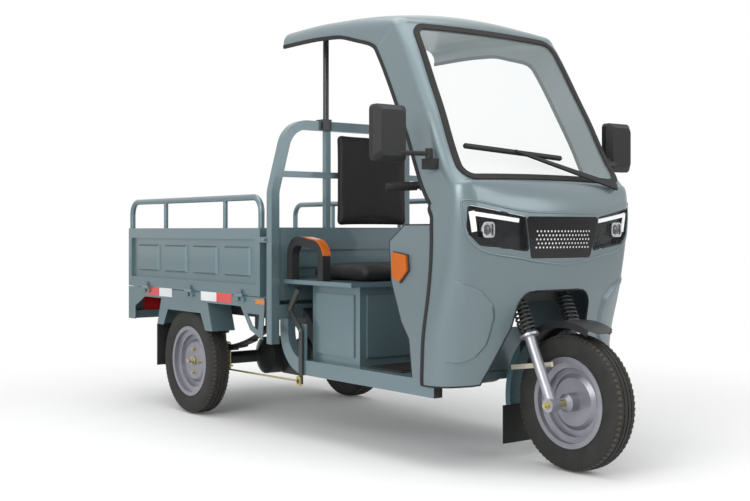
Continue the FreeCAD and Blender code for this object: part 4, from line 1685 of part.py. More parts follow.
def pull_rod():
    """A rod with a slotted eye, so that the pin of the lever can swing in it."""
    front = Vector(size.brake_x, value(BRAKE_FACE) - size.pull_pin_length / 2,
                   size.brake_foot_z + size.brake_strip / 2)
    half, tall = size.pull_pin_radius + size.pull_play, size.pull_pin_radius + size.pull_slot
    wall = 2 * size.pull_radius
    deep = (front.y - size.pull_pin_length / 4, front.y + size.pull_pin_length / 4)
    eye = block((front.x - half - wall, front.x + half + wall), deep,
                (front.z - tall - wall, front.z + tall + wall))
    eye = eye.cut(block((front.x - half, front.x + half), deep, (front.z - tall, front.z + tall)))
    rear = Vector(size.pull_rear_x, -size.pull_rear_y, front.z - size.pull_drop)
    start = front - Vector(half + wall / 2, 0, 0)
    return eye.fuse(round_bar([start, rear], size.brake_strip, size.pull_radius))


node("brake_rod", shaped("brake_rod", pull_rod()))


# Wiper: a spindle through the scuttle, an arm and a blade that lie over the glass.
def wiper():
    def on_screen(y, up, out):
        return screen_point(y, up, out)

    pivot_y, pivot_up, hover = size.wiper_y, size.wiper_up, size.wiper_hover
    spindle = Part.makeCylinder(size.wiper_boss_radius, hover - size.wiper_boss - size.part_gap,
                                on_screen(pivot_y, pivot_up, size.wiper_boss + size.part_gap), SCREEN_OUT)
    lean, blade_lean = math.radians(size.wiper_lean), math.radians(size.wiper_blade_lean)
    end_y = pivot_y - size.wiper_arm_length * math.cos(lean)
    end_up = pivot_up + size.wiper_arm_length * math.sin(lean)

    def strip(middle_y, middle_up, angle, back, ahead, widths, outs):
        """A flat strip over the glass, tapered from its back end to its front end."""
        way, side = (-math.cos(angle), math.sin(angle)), (math.sin(angle), math.cos(angle))
        ring = []
        for run, half in ((-back, widths[0] / 2), (-back, -widths[0] / 2), (ahead, -widths[1] / 2),
                          (ahead, widths[1] / 2)):
            ring.append(on_screen(middle_y + way[0] * run + side[0] * half,
                                  middle_up + way[1] * run + side[1] * half, outs[0]))
        return Part.Face(Part.makePolygon(ring + ring[:1])).extrude(SCREEN_OUT * (outs[1] - outs[0]))

    arm = strip(pivot_y, pivot_up, lean, size.wiper_width, size.wiper_arm_length,
                (2 * size.wiper_width, size.wiper_tip_width),
                (hover - size.overrun, hover + size.wiper_thick))
    half = size.wiper_blade_length / 2
    blade = strip(end_y, end_up, blade_lean, half, half, (size.wiper_width, size.wiper_width),
                  (size.wiper_rest, hover))
    return spindle.fuse([arm, blade])


node("wiper", shaped("wiper", wiper()))

# Mirrors: a clamp with an upright pin on each pillar, and a head on an arm that folds about it.
CLAMP_Z = (size.clamp_z - size.clamp_height / 2, size.clamp_z + size.clamp_height / 2)
clamp = block((size.clamp_x - size.clamp_length / 2, size.clamp_x + size.clamp_length / 2),
              (-size.clamp_y - size.clamp_width / 2, -size.clamp_y + size.clamp_width), CLAMP_Z)
clamp = clamp.cut(cab_core(size.seat_gap, ("shelf", "screen_foot", "screen_head")))
clamp = clamp.fuse(Part.makeCylinder(size.mirror_pin, size.mirror_pin_height,
                                     Vector(size.clamp_x, -size.clamp_y, CLAMP_Z[1])))
node("mirror_clamps", pair("mirror_clamps", shaped("mirror_clamp", clamp)))


def mirror():
    boss_low = CLAMP_Z[1] + size.part_gap
    boss = Part.makeCylinder(2 * size.mirror_pin, size.mirror_pin_height,
                             Vector(size.clamp_x, -size.clamp_y, boss_low))
    bore = Part.makeCylinder(size.mirror_pin + size.run_fit, size.mirror_pin_height,
                             Vector(size.clamp_x, -size.clamp_y, boss_low))
    half_y, half_z = size.mirror_width / 2, size.mirror_height / 2
    ring = [Vector(0, y, z) for y,
            z in ((-half_y, -half_z), (half_y, -half_z), (half_y, half_z), (-half_y, half_z))]
    rings = []
    for x, inset in ((-size.mirror_depth / 2, 0), (0, 0), (size.mirror_depth / 2, size.mirror_round)):
        inner = [Vector(x, point.y * (1 - inset / half_y), point.z * (1 - inset / half_z))
                 for point in ring]
        rings.append(rounded(inner, size.mirror_round))
    head = Part.makeLoft(rings, True, True)
    recess = rounded([Vector(-size.mirror_depth / 2, point.y * (1 - size.mirror_rim / half_y),
                             point.z * (1 - size.mirror_rim / half_z)) for point in ring],
                             size.mirror_round / 2)
    head = head.cut(Part.Face(recess).extrude(Vector(size.mirror_glass, 0, 0)))
    head.translate(Vector(size.mirror_x, -size.mirror_y, size.mirror_z))
    elbow_z = boss_low + size.mirror_pin_height / 2
    stops = [Vector(size.clamp_x, -size.clamp_y - 1.5 * size.mirror_pin, elbow_z),
             Vector(size.mirror_x, -size.mirror_y, elbow_z),
             Vector(size.mirror_x, -size.mirror_y, size.mirror_z - half_z / 2)]
    arm = round_bar(stops, 2 * size.mirror_arm, size.mirror_arm)
    return head.fuse([arm, boss]).cut(bore)


right_mirror = shaped("mirror_right", mirror())
node("mirror_right", right_mirror)
node("mirror_left", mirrored("mirror_left", right_mirror))


doc.recompute()
os.makedirs("parts", exist_ok=True)
for thing in nodes:
    shape = thing.Shape
    if {"Invalid", "Error"} & set(thing.State) or shape.isNull() or not shape.isValid():
        raise RuntimeError(f"{thing.Label} failed: {thing.State}")
    shape.exportStep(f"parts/{thing.Label}.step")
    print(thing.Label, len(shape.Solids), round(shape.Volume), shape.BoundBox)
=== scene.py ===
import math

import bmesh
import bpy
from mathutils import Matrix, Vector


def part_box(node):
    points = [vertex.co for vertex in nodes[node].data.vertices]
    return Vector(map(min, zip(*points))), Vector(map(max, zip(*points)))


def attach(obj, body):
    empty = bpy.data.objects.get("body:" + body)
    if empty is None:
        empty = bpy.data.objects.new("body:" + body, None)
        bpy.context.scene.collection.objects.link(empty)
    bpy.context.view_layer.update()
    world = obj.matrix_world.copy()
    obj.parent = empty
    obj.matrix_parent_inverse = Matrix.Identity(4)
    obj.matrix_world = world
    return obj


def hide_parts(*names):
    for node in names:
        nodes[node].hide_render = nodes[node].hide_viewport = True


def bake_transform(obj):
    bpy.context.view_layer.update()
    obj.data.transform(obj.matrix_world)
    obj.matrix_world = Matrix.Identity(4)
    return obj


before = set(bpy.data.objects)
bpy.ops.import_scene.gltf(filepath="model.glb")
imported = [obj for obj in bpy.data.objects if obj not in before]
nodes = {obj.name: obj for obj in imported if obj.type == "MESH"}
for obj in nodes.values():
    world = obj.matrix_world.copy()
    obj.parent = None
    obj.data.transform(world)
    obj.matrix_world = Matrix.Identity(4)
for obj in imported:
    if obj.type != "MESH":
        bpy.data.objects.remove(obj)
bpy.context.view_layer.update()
scene = bpy.context.scene
scene.view_settings.view_transform = "Standard"


# Chassis: welded square tube, sprayed with a thin black enamel that shows the orange peel of the
# spray and a little road dust. The axle, the springs, the stem and the levers have the same coat.
BLOTCH_DETAIL, GRAIN_DETAIL, GRAIN_DEPTH = 6.0, 3.0, 0.001


def coating(name, colours, rough, metal=0.0, lacquer=0.0, lacquer_rough=0.06,
            blotch=(6.0, 0.5), grain=(400.0, 0.05), shine=0.5):
    """A sprayed or moulded finish: two shades in soft blotches, uneven gloss and a fine grain."""
    blotch_scale, blotch_spread = blotch
    grain_scale, grain_strength = grain
    finish = bpy.data.materials.new(name)
    finish.use_nodes = True
    tree = finish.node_tree
    shader = tree.nodes["Principled BSDF"]
    shader.inputs["Metallic"].default_value = metal
    shader.inputs["Coat Weight"].default_value = lacquer
    shader.inputs["Coat Roughness"].default_value = lacquer_rough
    shader.inputs["Specular IOR Level"].default_value = shine
    place = tree.nodes.new("ShaderNodeTexCoord")
    clouds = tree.nodes.new("ShaderNodeTexNoise")
    clouds.inputs["Scale"].default_value = blotch_scale
    clouds.inputs["Detail"].default_value = BLOTCH_DETAIL
    tree.links.new(place.outputs["Object"], clouds.inputs["Vector"])
    shades = tree.nodes.new("ShaderNodeValToRGB")
    dark, light = shades.color_ramp.elements
    dark.position = 0.5 - blotch_spread / 2
    light.position = 0.5 + blotch_spread / 2
    dark.color = (*colours[0], 1)
    light.color = (*colours[1], 1)
    tree.links.new(clouds.outputs["Fac"], shades.inputs["Fac"])
    tree.links.new(shades.outputs["Color"], shader.inputs["Base Color"])
    gloss = tree.nodes.new("ShaderNodeMapRange")
    gloss.inputs["To Min"].default_value = rough[0]
    gloss.inputs["To Max"].default_value = rough[1]
    tree.links.new(clouds.outputs["Fac"], gloss.inputs["Value"])
    tree.links.new(gloss.outputs["Result"], shader.inputs["Roughness"])
    speck = tree.nodes.new("ShaderNodeTexNoise")
    speck.inputs["Scale"].default_value = grain_scale
    speck.inputs["Detail"].default_value = GRAIN_DETAIL
    tree.links.new(place.outputs["Object"], speck.inputs["Vector"])
    bump = tree.nodes.new("ShaderNodeBump")
    bump.inputs["Strength"].default_value = grain_strength
    bump.inputs["Distance"].default_value = GRAIN_DEPTH
    tree.links.new(speck.outputs["Fac"], bump.inputs["Height"])
    tree.links.new(bump.outputs["Normal"], shader.inputs["Normal"])
    return finish


def coat(finish, *names):
    """Gives CAD nodes their finish."""
    for name in names:
        nodes[name].data.materials.clear()
        nodes[name].data.materials.append(finish)


black_enamel = coating("black_enamel", ((0.018, 0.02, 0.021), (0.03, 0.031, 0.031)), (0.34, 0.5),
                       lacquer=0.2)
coat(black_enamel, "chassis_frame", "rear_axle_housing", "drive_motor", "leaf_springs",
     "rear_shock_bodies", "steering_stem", "handlebar", "brake_pedal", "hand_brake_lever",
     "roof_struts", "fork_springs")
bare_steel = coating("bare_steel", ((0.36, 0.36, 0.37), (0.52, 0.52, 0.53)), (0.26, 0.42),
                     metal=1.0, blotch=(30.0, 0.4), grain=(260.0, 0.08))
coat(bare_steel, "rear_shock_rods", "steering_bearings", "rear_hub_right", "rear_hub_left")


# Leaf springs: each pack is clamped to the axle at its middle and hangs from the chassis by its eyes.
# Here each pack is cut at the axle into a front and a rear half. They are black like the chassis.
REAR_EYE, FRONT_EYE = (corner[0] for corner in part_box("leaf_springs"))
AXLE_X, CLAMP_HALF, LEAF_MERGE = (REAR_EYE + FRONT_EYE) / 2, 0.05, 0.00001


def piece_of(shape, name, *finishes):
    """Makes a scene object of a finished bmesh, with its finishes."""
    mesh = bpy.data.meshes.new(name)
    shape.to_mesh(mesh)
    shape.free()
    piece = bpy.data.objects.new(name, mesh)
    scene.collection.objects.link(piece)
    for finish in finishes:
        mesh.materials.append(finish)
    return piece


for word, side, eye in (("front", 1, FRONT_EYE), ("rear", -1, REAR_EYE)):
    leaves = bmesh.new()
    leaves.from_mesh(nodes["leaf_springs"].data)
    bmesh.ops.remove_doubles(leaves, verts=leaves.verts[:], dist=LEAF_MERGE)
    whole = leaves.verts[:] + leaves.edges[:] + leaves.faces[:]
    halved = bmesh.ops.bisect_plane(leaves, geom=whole, clear_inner=True,
                                    plane_co=(AXLE_X, 0, 0), plane_no=(side, 0, 0))
    rims = [part for part in halved["geom_cut"] if isinstance(part, bmesh.types.BMEdge)]
    bmesh.ops.holes_fill(leaves, edges=rims)
    half_pack = piece_of(leaves, f"leaf_springs_{word}", black_enamel)
    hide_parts("leaf_springs")
    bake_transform(half_pack)


# Zinc-plated hardware: the brake rod, the axle with its nuts, the wheel nuts and the U bolts, dipped
# in yellow chromate that shades from straw to a faint green.
yellow_zinc = coating("yellow_zinc", ((0.52, 0.42, 0.14), (0.62, 0.56, 0.26)), (0.22, 0.4),
                      metal=0.9, blotch=(60.0, 0.5), grain=(300.0, 0.1))
coat(yellow_zinc, "brake_rod", "front_axle", "spring_u_bolts", "rear_wheel_nuts_right",
     "rear_wheel_nuts_left")


# Wheels: pressed steel discs in silver-lilac paint, with black tyres. The tread is five rows of small
# slanted blocks from shoulder to shoulder, moulded with the tyre, so they turn with it.
silver_lilac = coating("silver_lilac", ((0.23, 0.23, 0.265), (0.30, 0.30, 0.34)), (0.3, 0.42),
                       metal=0.55, lacquer=0.3, blotch=(14.0, 0.6), grain=(900.0, 0.05))
coat(silver_lilac, "front_rim", "rear_rim_right", "rear_rim_left")
tyre_black = coating("tyre_black", ((0.018, 0.018, 0.018), (0.035, 0.034, 0.032)), (0.6, 0.78),
                     blotch=(20.0, 0.5), grain=(500.0, 0.25), shine=0.3)
tread_black = coating("tread_black", ((0.045, 0.042, 0.036), (0.085, 0.077, 0.06)), (0.7, 0.85),
                      blotch=(40.0, 0.5), grain=(600.0, 0.3), shine=0.3)
TREAD_BLOCKS, TREAD_PROUD, TREAD_ROWS = 72, 0.0022, (-0.74, -0.4, 0.0, 0.4, 0.74)
LUG, LUG_SLANT, OVER_TYRE = (0.0135, 0.0128, 0.009), 24, 0.1
for tyre, body in (("front_tyre", "front_wheel"), ("rear_tyre_right", "rear_wheel_right"),
                   ("rear_tyre_left", "rear_wheel_left")):
    coat(tyre_black, tyre)
    low, high = (Vector(corner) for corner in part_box(tyre))
    hub, half = (low + high) / 2, (high.y - low.y) / 2
    tread = bmesh.new()
    for row, aside in enumerate(TREAD_ROWS):
        above = Vector((hub.x, hub.y + aside * half, high.z + OVER_TYRE))
        _, crown, out, _ = nodes[tyre].ray_cast(above, Vector((0, 0, -1)))
        slant = math.radians(LUG_SLANT if row % 2 else -LUG_SLANT)
        lean = math.atan2(-out.y, out.z)
        for number in range(TREAD_BLOCKS):
            lug = bmesh.ops.create_cube(tread, size=1)["verts"]
            bmesh.ops.scale(tread, verts=lug, vec=LUG)
            bmesh.ops.rotate(tread, verts=lug, matrix=Matrix.Rotation(slant, 3, "Z"))
            bmesh.ops.translate(tread, verts=lug, vec=(0, 0, TREAD_PROUD - LUG[2] / 2))
            bmesh.ops.rotate(tread, verts=lug, matrix=Matrix.Rotation(lean, 3, "X"))
            bmesh.ops.translate(tread, verts=lug, vec=(0, aside * half, crown.z - hub.z))
            angle = 2 * math.pi * (number + row % 2 / 2) / TREAD_BLOCKS
            bmesh.ops.rotate(tread, verts=lug, matrix=Matrix.Rotation(angle, 3, "Y"))
            bmesh.ops.translate(tread, verts=lug, vec=hub)
    blocks = piece_of(tread, f"{tyre}_tread", tread_black)
    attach(blocks, body)


# Fork: cast alloy sliders in silver lacquer below the black springs, which are copied into a piece of
# their own. The small plastic and rubber parts share two plain finishes.
coils = bmesh.new()
coils.from_mesh(nodes["fork_springs"].data)
fork_coils = piece_of(coils, "fork_coils", black_enamel)
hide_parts("fork_springs")
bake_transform(fork_coils)
alloy = coating("alloy_lacquer", ((0.36, 0.36, 0.40), (0.46, 0.46, 0.50)), (0.3, 0.44),
                metal=0.7, blotch=(25.0, 0.5), grain=(500.0, 0.12))
coat(alloy, "fork_sliders")
black_plastic = coating("black_plastic", ((0.012, 0.012, 0.013), (0.02, 0.02, 0.021)), (0.42, 0.58),
                        grain=(700.0, 0.12), shine=0.3)
coat(black_plastic, "wiper", "mirror_right", "mirror_left", "mirror_clamps", "front_brake_lever",
     "motor_controller", "battery_pack", "armrests")
rubber = coating("rubber", ((0.014, 0.014, 0.014), (0.028, 0.027, 0.026)), (0.62, 0.78),
                 grain=(350.0, 0.2), shine=0.3)
coat(rubber, "front_mud_flap", "rear_mud_flaps", "cab_rubber_trim", "throttle_grip")


# Body: pressed and folded sheet in a silvery blue-grey metallic that turns teal in the shade, under
# clear lacquer. The cab and the leg shields are moulded plastic in the same paint.
body_paint = coating("body_paint", ((0.11, 0.178, 0.2), (0.148, 0.215, 0.236)), (0.3, 0.4),
                     metal=0.4, lacquer=0.6, blotch=(900.0, 0.4), grain=(1200.0, 0.02))
coat(body_paint, "cargo_bed", "side_gate_right", "side_gate_left", "tailgate", "headboard_frame",
     "seat_box", "floor_pan", "cab_side_rails", "rear_fenders")
cab_paint = coating("cab_paint", ((0.125, 0.175, 0.193), (0.162, 0.212, 0.229)), (0.3, 0.4),
                    metal=0.4, lacquer=0.5, lacquer_rough=0.16, blotch=(900.0, 0.4),
                    grain=(1200.0, 0.015))
coat(cab_paint, "cab_shell", "leg_shield")


# Front mudguard: black plastic over the wheel, its tail in body colour, on cream-painted flat stays
# that are bolted to the fork legs. The tail lies behind one plane and the stays beyond another.
TAIL_X, TAIL_PAINT = 0.985, (0.06, 0.13, 0.15, 1)
STAY_Y, STAY_CREAM = 0.066, (0.62, 0.58, 0.46, 1)
guard = coating("mudguard_finish", ((0.012, 0.012, 0.013), (0.02, 0.02, 0.021)), (0.34, 0.46),
                grain=(700.0, 0.1), shine=0.4)
tree = guard.node_tree
shader = tree.nodes["Principled BSDF"]
place = tree.nodes.new("ShaderNodeTexCoord")
parts = tree.nodes.new("ShaderNodeSeparateXYZ")
tree.links.new(place.outputs["Object"], parts.inputs["Vector"])
aside = tree.nodes.new("ShaderNodeMath")
aside.operation = "ABSOLUTE"
tree.links.new(parts.outputs["Y"], aside.inputs[0])
colour = shader.inputs["Base Color"].links[0].from_socket
for measure, test, limit, paint in ((parts.outputs["X"], "LESS_THAN", TAIL_X, TAIL_PAINT),
                                    (aside.outputs["Value"], "GREATER_THAN", STAY_Y, STAY_CREAM)):
    beyond = tree.nodes.new("ShaderNodeMath")
    beyond.operation = test
    beyond.inputs[1].default_value = limit
    tree.links.new(measure, beyond.inputs[0])
    painted = tree.nodes.new("ShaderNodeMix")
    painted.data_type = "RGBA"
    painted.inputs["B"].default_value = paint
    tree.links.new(beyond.outputs["Value"], painted.inputs["Factor"])
    tree.links.new(colour, painted.inputs["A"])
    colour = painted.outputs["Result"]
tree.links.new(colour, shader.inputs["Base Color"])
coat(guard, "front_mudguard")


# Windscreen and lamp covers: a sheet of laminated glass with a faint green edge, held in the rubber
# seal, and thin clear plastic mouldings that snap over the lamp bowls.
CLEAR_ROUGH, TURN_BLEND = 0.02, 0.3


def clear(name, tint, face_on, edge_on):
    """Clear sheet: nearly open where it faces the eye and mirror-like where it turns away."""
    finish = bpy.data.materials.new(name)
    finish.use_nodes = True
    tree = finish.node_tree
    shader = tree.nodes["Principled BSDF"]
    shader.inputs["Base Color"].default_value = (*tint, 1)
    shader.inputs["Roughness"].default_value = CLEAR_ROUGH
    turn = tree.nodes.new("ShaderNodeLayerWeight")
    turn.inputs["Blend"].default_value = TURN_BLEND
    opened = tree.nodes.new("ShaderNodeMapRange")
    opened.inputs["To Min"].default_value = face_on
    opened.inputs["To Max"].default_value = edge_on
    tree.links.new(turn.outputs["Facing"], opened.inputs["Value"])
    tree.links.new(opened.outputs["Result"], shader.inputs["Alpha"])
    return finish


coat(clear("screen_glass", (0.62, 0.70, 0.70), 0.03, 0.35), "windshield")
coat(clear("lamp_cover", (0.12, 0.13, 0.14), 0.02, 0.1), "headlight_lenses")


# Lamps: glossy black plastic bowls, with the grille moulded in the same plastic between them. The
# amber and red lenses are coloured plastic, moulded with fine upright ribs and clipped in place.
RIB_SCALE, RIB_STRENGTH, LENS_LIFT = 60.0, 0.3, 1.25
gloss_black = coating("gloss_black", ((0.008, 0.008, 0.009), (0.014, 0.014, 0.015)), (0.08, 0.16),
                      lacquer=0.15, grain=(300.0, 0.01), shine=0.25)
coat(gloss_black, "grille_panel", "headlight_housings")


def emboss(finish, texture, output, strength):
    """Puts a pattern on Object coordinates in place of a coating's grain."""
    tree = finish.node_tree
    place = tree.nodes.new("ShaderNodeTexCoord")
    pattern = tree.nodes.new(texture)
    tree.links.new(place.outputs["Object"], pattern.inputs["Vector"])
    bump = next(step for step in tree.nodes if step.bl_idname == "ShaderNodeBump")
    bump.inputs["Strength"].default_value = strength
    tree.links.new(pattern.outputs[output], bump.inputs["Height"])
    return pattern


for name, colour, node in (("amber_lens", (0.43, 0.092, 0.002), "amber_lenses"),
                           ("red_lens", (0.42, 0.01, 0.01), "tail_lights")):
    lighter = tuple(min(1, LENS_LIFT * part) for part in colour)
    ribbed = coating(name, (colour, lighter), (0.18, 0.28), shine=0.3)
    ribs = emboss(ribbed, "ShaderNodeTexWave", "Fac", RIB_STRENGTH)
    ribs.bands_direction = "Z"
    ribs.inputs["Scale"].default_value = RIB_SCALE
    coat(ribbed, node)


# Seat and backrest: foam under black grained vinyl, drawn tight by the sewing, so the faces crown
# and the edges pull in. The foam is blown up from the block it is cut from.
FOAM_GRID, FOAM_MERGE, FOAM_PRESSURE, FOAM_FRAMES = 0.008, 0.0001, 4.0, 20
vinyl = coating("black_vinyl", ((0.008, 0.008, 0.009), (0.016, 0.016, 0.017)), (0.5, 0.64),
                blotch=(9.0, 0.5), grain=(420.0, 0.35), shine=0.3)
coat(vinyl, "seat_cushion", "backrest_pad")
for node, body, inset, cap in (("seat_cushion", "seat", 0.007, 0.013),
                               ("backrest_pad", "body", 0.006, 0.010)):
    foam = bmesh.new()
    foam.from_mesh(nodes[node].data)
    bmesh.ops.remove_doubles(foam, verts=foam.verts, dist=FOAM_MERGE)
    pad = piece_of(foam, f"{node}_foam")
    bpy.context.view_layer.objects.active = pad
    grid = pad.modifiers.new("grid", "REMESH")
    grid.mode = "VOXEL"
    grid.voxel_size = FOAM_GRID
    mesh = bpy.data.meshes.new_from_object(pad.evaluated_get(bpy.context.evaluated_depsgraph_get()))
    pad.modifiers.clear()
    pad.data = mesh
    middle = sum((vertex.co for vertex in mesh.vertices), Vector()) / len(mesh.vertices)
    low, high = (Vector(corner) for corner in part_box(node))
    shrink = Vector([1 - 2 * inset / size for size in high - low])
    for vertex in mesh.vertices:
        vertex.co = middle + shrink * (vertex.co - middle)
    start = [vertex.co.copy() for vertex in mesh.vertices]
    blow = pad.modifiers.new("blow", "CLOTH")
    blow.settings.use_pressure = True
    blow.settings.uniform_pressure_force = FOAM_PRESSURE
    blow.settings.effector_weights.gravity = 0
    for step in range(FOAM_FRAMES):
        scene.frame_set(step + 1)
    blown = pad.evaluated_get(bpy.context.evaluated_depsgraph_get())
    swollen = bpy.data.meshes.new_from_object(blown)
    pad.modifiers.clear()
    for vertex, was, now in zip(mesh.vertices, start, swollen.vertices):
        move = now.co - was
        vertex.co = was + (move * (cap / move.length) if move.length > cap else move)
    scene.frame_set(1)
    for face in mesh.polygons:
        face.use_smooth = True
    mesh.materials.clear()
    mesh.materials.append(vinyl)
    smooth = pad.modifiers.new("smooth", "SUBSURF")
    smooth.levels = smooth.render_levels = 1
    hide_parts(node)
    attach(pad, body)


# Head lamps: behind each clear cover a white light bar bends round the outer corner of the bowl, and
# a square projector with a glass eye stands on the bowl's floor in a bright bezel.
SIDES, AHEAD = ((-1, "right"), (1, "left")), 2
BAR_RUNS = (((0.410, 0.940), (0.212, 0.914), 0.015), ((0.406, 0.947), (0.391, 0.874), 0.020))
BAR_DEPTH, BAR_THICK, BAR_STEPS, BAR_START = 0.013, 0.004, 16, 1.1
EYE, EYE_RADIUS, EYE_PROUD, EYE_STAND = (0.341, 0.881), 0.019, 0.002, 0.009
EYE_SQUASH, TURNED_AHEAD = (0.5, 1, 1), 0.9
LIT_TINT, LIT_STRENGTH = (0.95, 0.98, 1.0, 1), 0.25
BEZEL, BEZEL_CORNER = (0.022, 0.058, 0.056), 0.014
BEZEL_RIM, BEZEL_STEP, BEZEL_SUNK = 0.006, 0.002, 0.008
lit_white = coating("lit_white", ((0.86, 0.88, 0.88), (0.92, 0.93, 0.93)), (0.3, 0.4))
shader = lit_white.node_tree.nodes["Principled BSDF"]
shader.inputs["Emission Color"].default_value = LIT_TINT
shader.inputs["Emission Strength"].default_value = LIT_STRENGTH
bright_bezel = coating("bright_bezel", ((0.55, 0.56, 0.57), (0.68, 0.68, 0.69)), (0.08, 0.16), metal=1.0)
dark_eye = coating("dark_eye", ((0.02, 0.025, 0.03), (0.06, 0.07, 0.08)), (0.03, 0.06), lacquer=1.0)


def from_ahead(node, across, up):
    """Where a level line from in front first meets a CAD node, and the way its face looks there."""
    struck, spot, out, _ = nodes[node].ray_cast(Vector((AHEAD, across, up)), Vector((-1, 0, 0)))
    return (spot, out) if struck else (None, None)


for side, word in SIDES:
    bar = bmesh.new()
    for (out_y, out_z), (in_y, in_z), width in BAR_RUNS:
        run = Vector((in_y - out_y, in_z - out_z))
        square = Vector((-run.y, run.x)).normalized()
        strip = bmesh.ops.create_grid(bar, x_segments=BAR_STEPS, y_segments=1, size=0.5)["verts"]
        depth = BAR_START
        for vertex in strip:
            point = Vector((out_y, out_z)) + run * (vertex.co.x + 0.5) + square * vertex.co.y * width
            cover, _ = from_ahead("headlight_lenses", side * point.x, point.y)
            depth = cover.x if cover else depth
            vertex.co = Vector((depth - BAR_DEPTH, side * point.x, point.y))
    bmesh.ops.recalc_face_normals(bar, faces=bar.faces[:])
    bmesh.ops.solidify(bar, geom=bar.faces[:], thickness=BAR_THICK)
    light_bar = piece_of(bar, f"light_bar_{word}", lit_white)
    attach(light_bar, "body")
    bowl, _ = from_ahead("headlight_housings", side * EYE[0], EYE[1])
    eye = bmesh.new()
    bezel = bmesh.ops.create_cube(eye, size=1)["verts"]
    bmesh.ops.scale(eye, verts=bezel, vec=BEZEL)
    corners = [edge for edge in eye.edges
               if abs((edge.verts[0].co - edge.verts[1].co).x) > BEZEL[0] / 2]
    bmesh.ops.bevel(eye, geom=corners, offset=BEZEL_CORNER, segments=5, profile=0.5, affect="EDGES",
                    material=-1)
    front = [face for face in eye.faces if face.normal.x > TURNED_AHEAD]
    bmesh.ops.inset_region(eye, faces=front, thickness=BEZEL_RIM, depth=0)
    bmesh.ops.inset_region(eye, faces=front, thickness=BEZEL_STEP, depth=-BEZEL_SUNK)
    ball = bmesh.ops.create_uvsphere(eye, u_segments=24, v_segments=12, radius=EYE_RADIUS)["verts"]
    bmesh.ops.scale(eye, verts=ball, vec=EYE_SQUASH)
    bmesh.ops.translate(eye, verts=ball, vec=(EYE_PROUD, 0, 0))
    for face in {face for vertex in ball for face in vertex.link_faces}:
        face.material_index = 1
        face.smooth = True
    bmesh.ops.translate(eye, verts=eye.verts[:], vec=bowl + Vector((EYE_STAND, 0, 0)))
    projector = piece_of(eye, f"projector_{word}", bright_bezel, dark_eye)
    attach(projector, "body")


# Grille: the gloss panel is pierced by rows of small round holes that let the daylight behind it
# through. The holes are not cut: each is a thin pale disc on the panel, painted light that stands in
# for the daylight seen through the hole, so each hole reads as a pale dot.
HOLE_ROWS, HOLE_COLUMNS, HOLE_ACROSS, HOLE_UP, HOLE_MIDDLE = 5, 17, 0.0172, 0.0148, 0.846
HOLE_RADIUS, HOLE_DEPTH = 0.0036, 0.0016
# Painted light: a pale colour on each disc in place of the daylight behind the grille.
painted_daylight = coating("painted_daylight", ((0.62, 0.64, 0.64), (0.8, 0.8, 0.8)), (0.5, 0.6))
holes = bmesh.new()
for row in range(HOLE_ROWS):
    for column in range(HOLE_COLUMNS - row % 2):
        across = (column - (HOLE_COLUMNS - 1 - row % 2) / 2) * HOLE_ACROSS
        up = HOLE_MIDDLE + (row - (HOLE_ROWS - 1) / 2) * HOLE_UP
        spot, out = from_ahead("grille_panel", across, up)
        if spot:
            dot = bmesh.ops.create_cone(holes, cap_ends=True, segments=10, radius1=HOLE_RADIUS,
                                        radius2=HOLE_RADIUS, depth=HOLE_DEPTH)["verts"]
            bmesh.ops.rotate(holes, verts=dot, matrix=out.to_track_quat("Z", "Y").to_matrix())
            bmesh.ops.translate(holes, verts=dot, vec=spot)
grille_holes = piece_of(holes, "grille_holes", painted_daylight)
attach(grille_holes, "body")


# Floor mat: a ribbed rubber sheet cut to the cab floor. It lies loose between the seat box and the
# front wall, and the ribs run across the vehicle, under the feet.
MAT_LOW, MAT_HIGH, MAT_EDGE = Vector((0.462, -0.395, 0.3332)), Vector((0.682, 0.395, 0.3382)), 0.002
RIBS, RIB_WIDE, RIB_PROUD, RIB_PITCH, RIB_FIRST, RIB_MARGIN = 17, 0.006, 0.0035, 0.012, 0.014, 0.03
mat = bmesh.new()
sheet = bmesh.ops.create_cube(mat, size=1)["verts"]
bmesh.ops.scale(mat, verts=sheet, vec=MAT_HIGH - MAT_LOW)
bmesh.ops.translate(mat, verts=sheet, vec=(MAT_LOW + MAT_HIGH) / 2)
bmesh.ops.bevel(mat, geom=mat.edges[:], offset=MAT_EDGE, segments=2, profile=0.5, affect="EDGES",
                material=-1)
for number in range(RIBS):
    rib = bmesh.ops.create_cube(mat, size=1)["verts"]
    bmesh.ops.scale(mat, verts=rib, vec=(RIB_WIDE, MAT_HIGH.y - MAT_LOW.y - RIB_MARGIN, 2 * RIB_PROUD))
    along = MAT_LOW.x + RIB_FIRST + number * RIB_PITCH
    bmesh.ops.translate(mat, verts=rib, vec=(along, 0, MAT_HIGH.z))
floor_mat = piece_of(mat, "floor_mat", rubber)
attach(floor_mat, "body")


# Mirror glass: a silvered plate with rounded corners, pressed into the back of each mirror shell and
# held by the shell's lip.
PANE, PANE_CORNER, PANE_SET, PANE_Y, PANE_Z = (0.0024, 0.128, 0.18), 0.02, 0.0026, 0.612, 1.226
silvered = coating("silvered_glass", ((0.78, 0.8, 0.8), (0.82, 0.83, 0.83)), (0.02, 0.05),
                   metal=1.0, grain=(5.0, 0.0))
for name, body, side in (("mirror_right", "mirror_r", -1), ("mirror_left", "mirror_l", 1)):
    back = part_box(name)[0][0]
    glass = bmesh.new()
    pane = bmesh.ops.create_cube(glass, size=1)["verts"]
    bmesh.ops.scale(glass, verts=pane, vec=PANE)
    bmesh.ops.translate(glass, verts=pane, vec=(back + PANE_SET, side * PANE_Y, PANE_Z))
    corners = [edge for edge in glass.edges
               if abs((edge.verts[0].co - edge.verts[1].co).x) > PANE[0] / 2]
    bmesh.ops.bevel(glass, geom=corners, offset=PANE_CORNER, segments=6, profile=0.5, affect="EDGES",
                    material=-1)
    plate = piece_of(glass, f"{name}_glass", silvered)
    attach(plate, body)


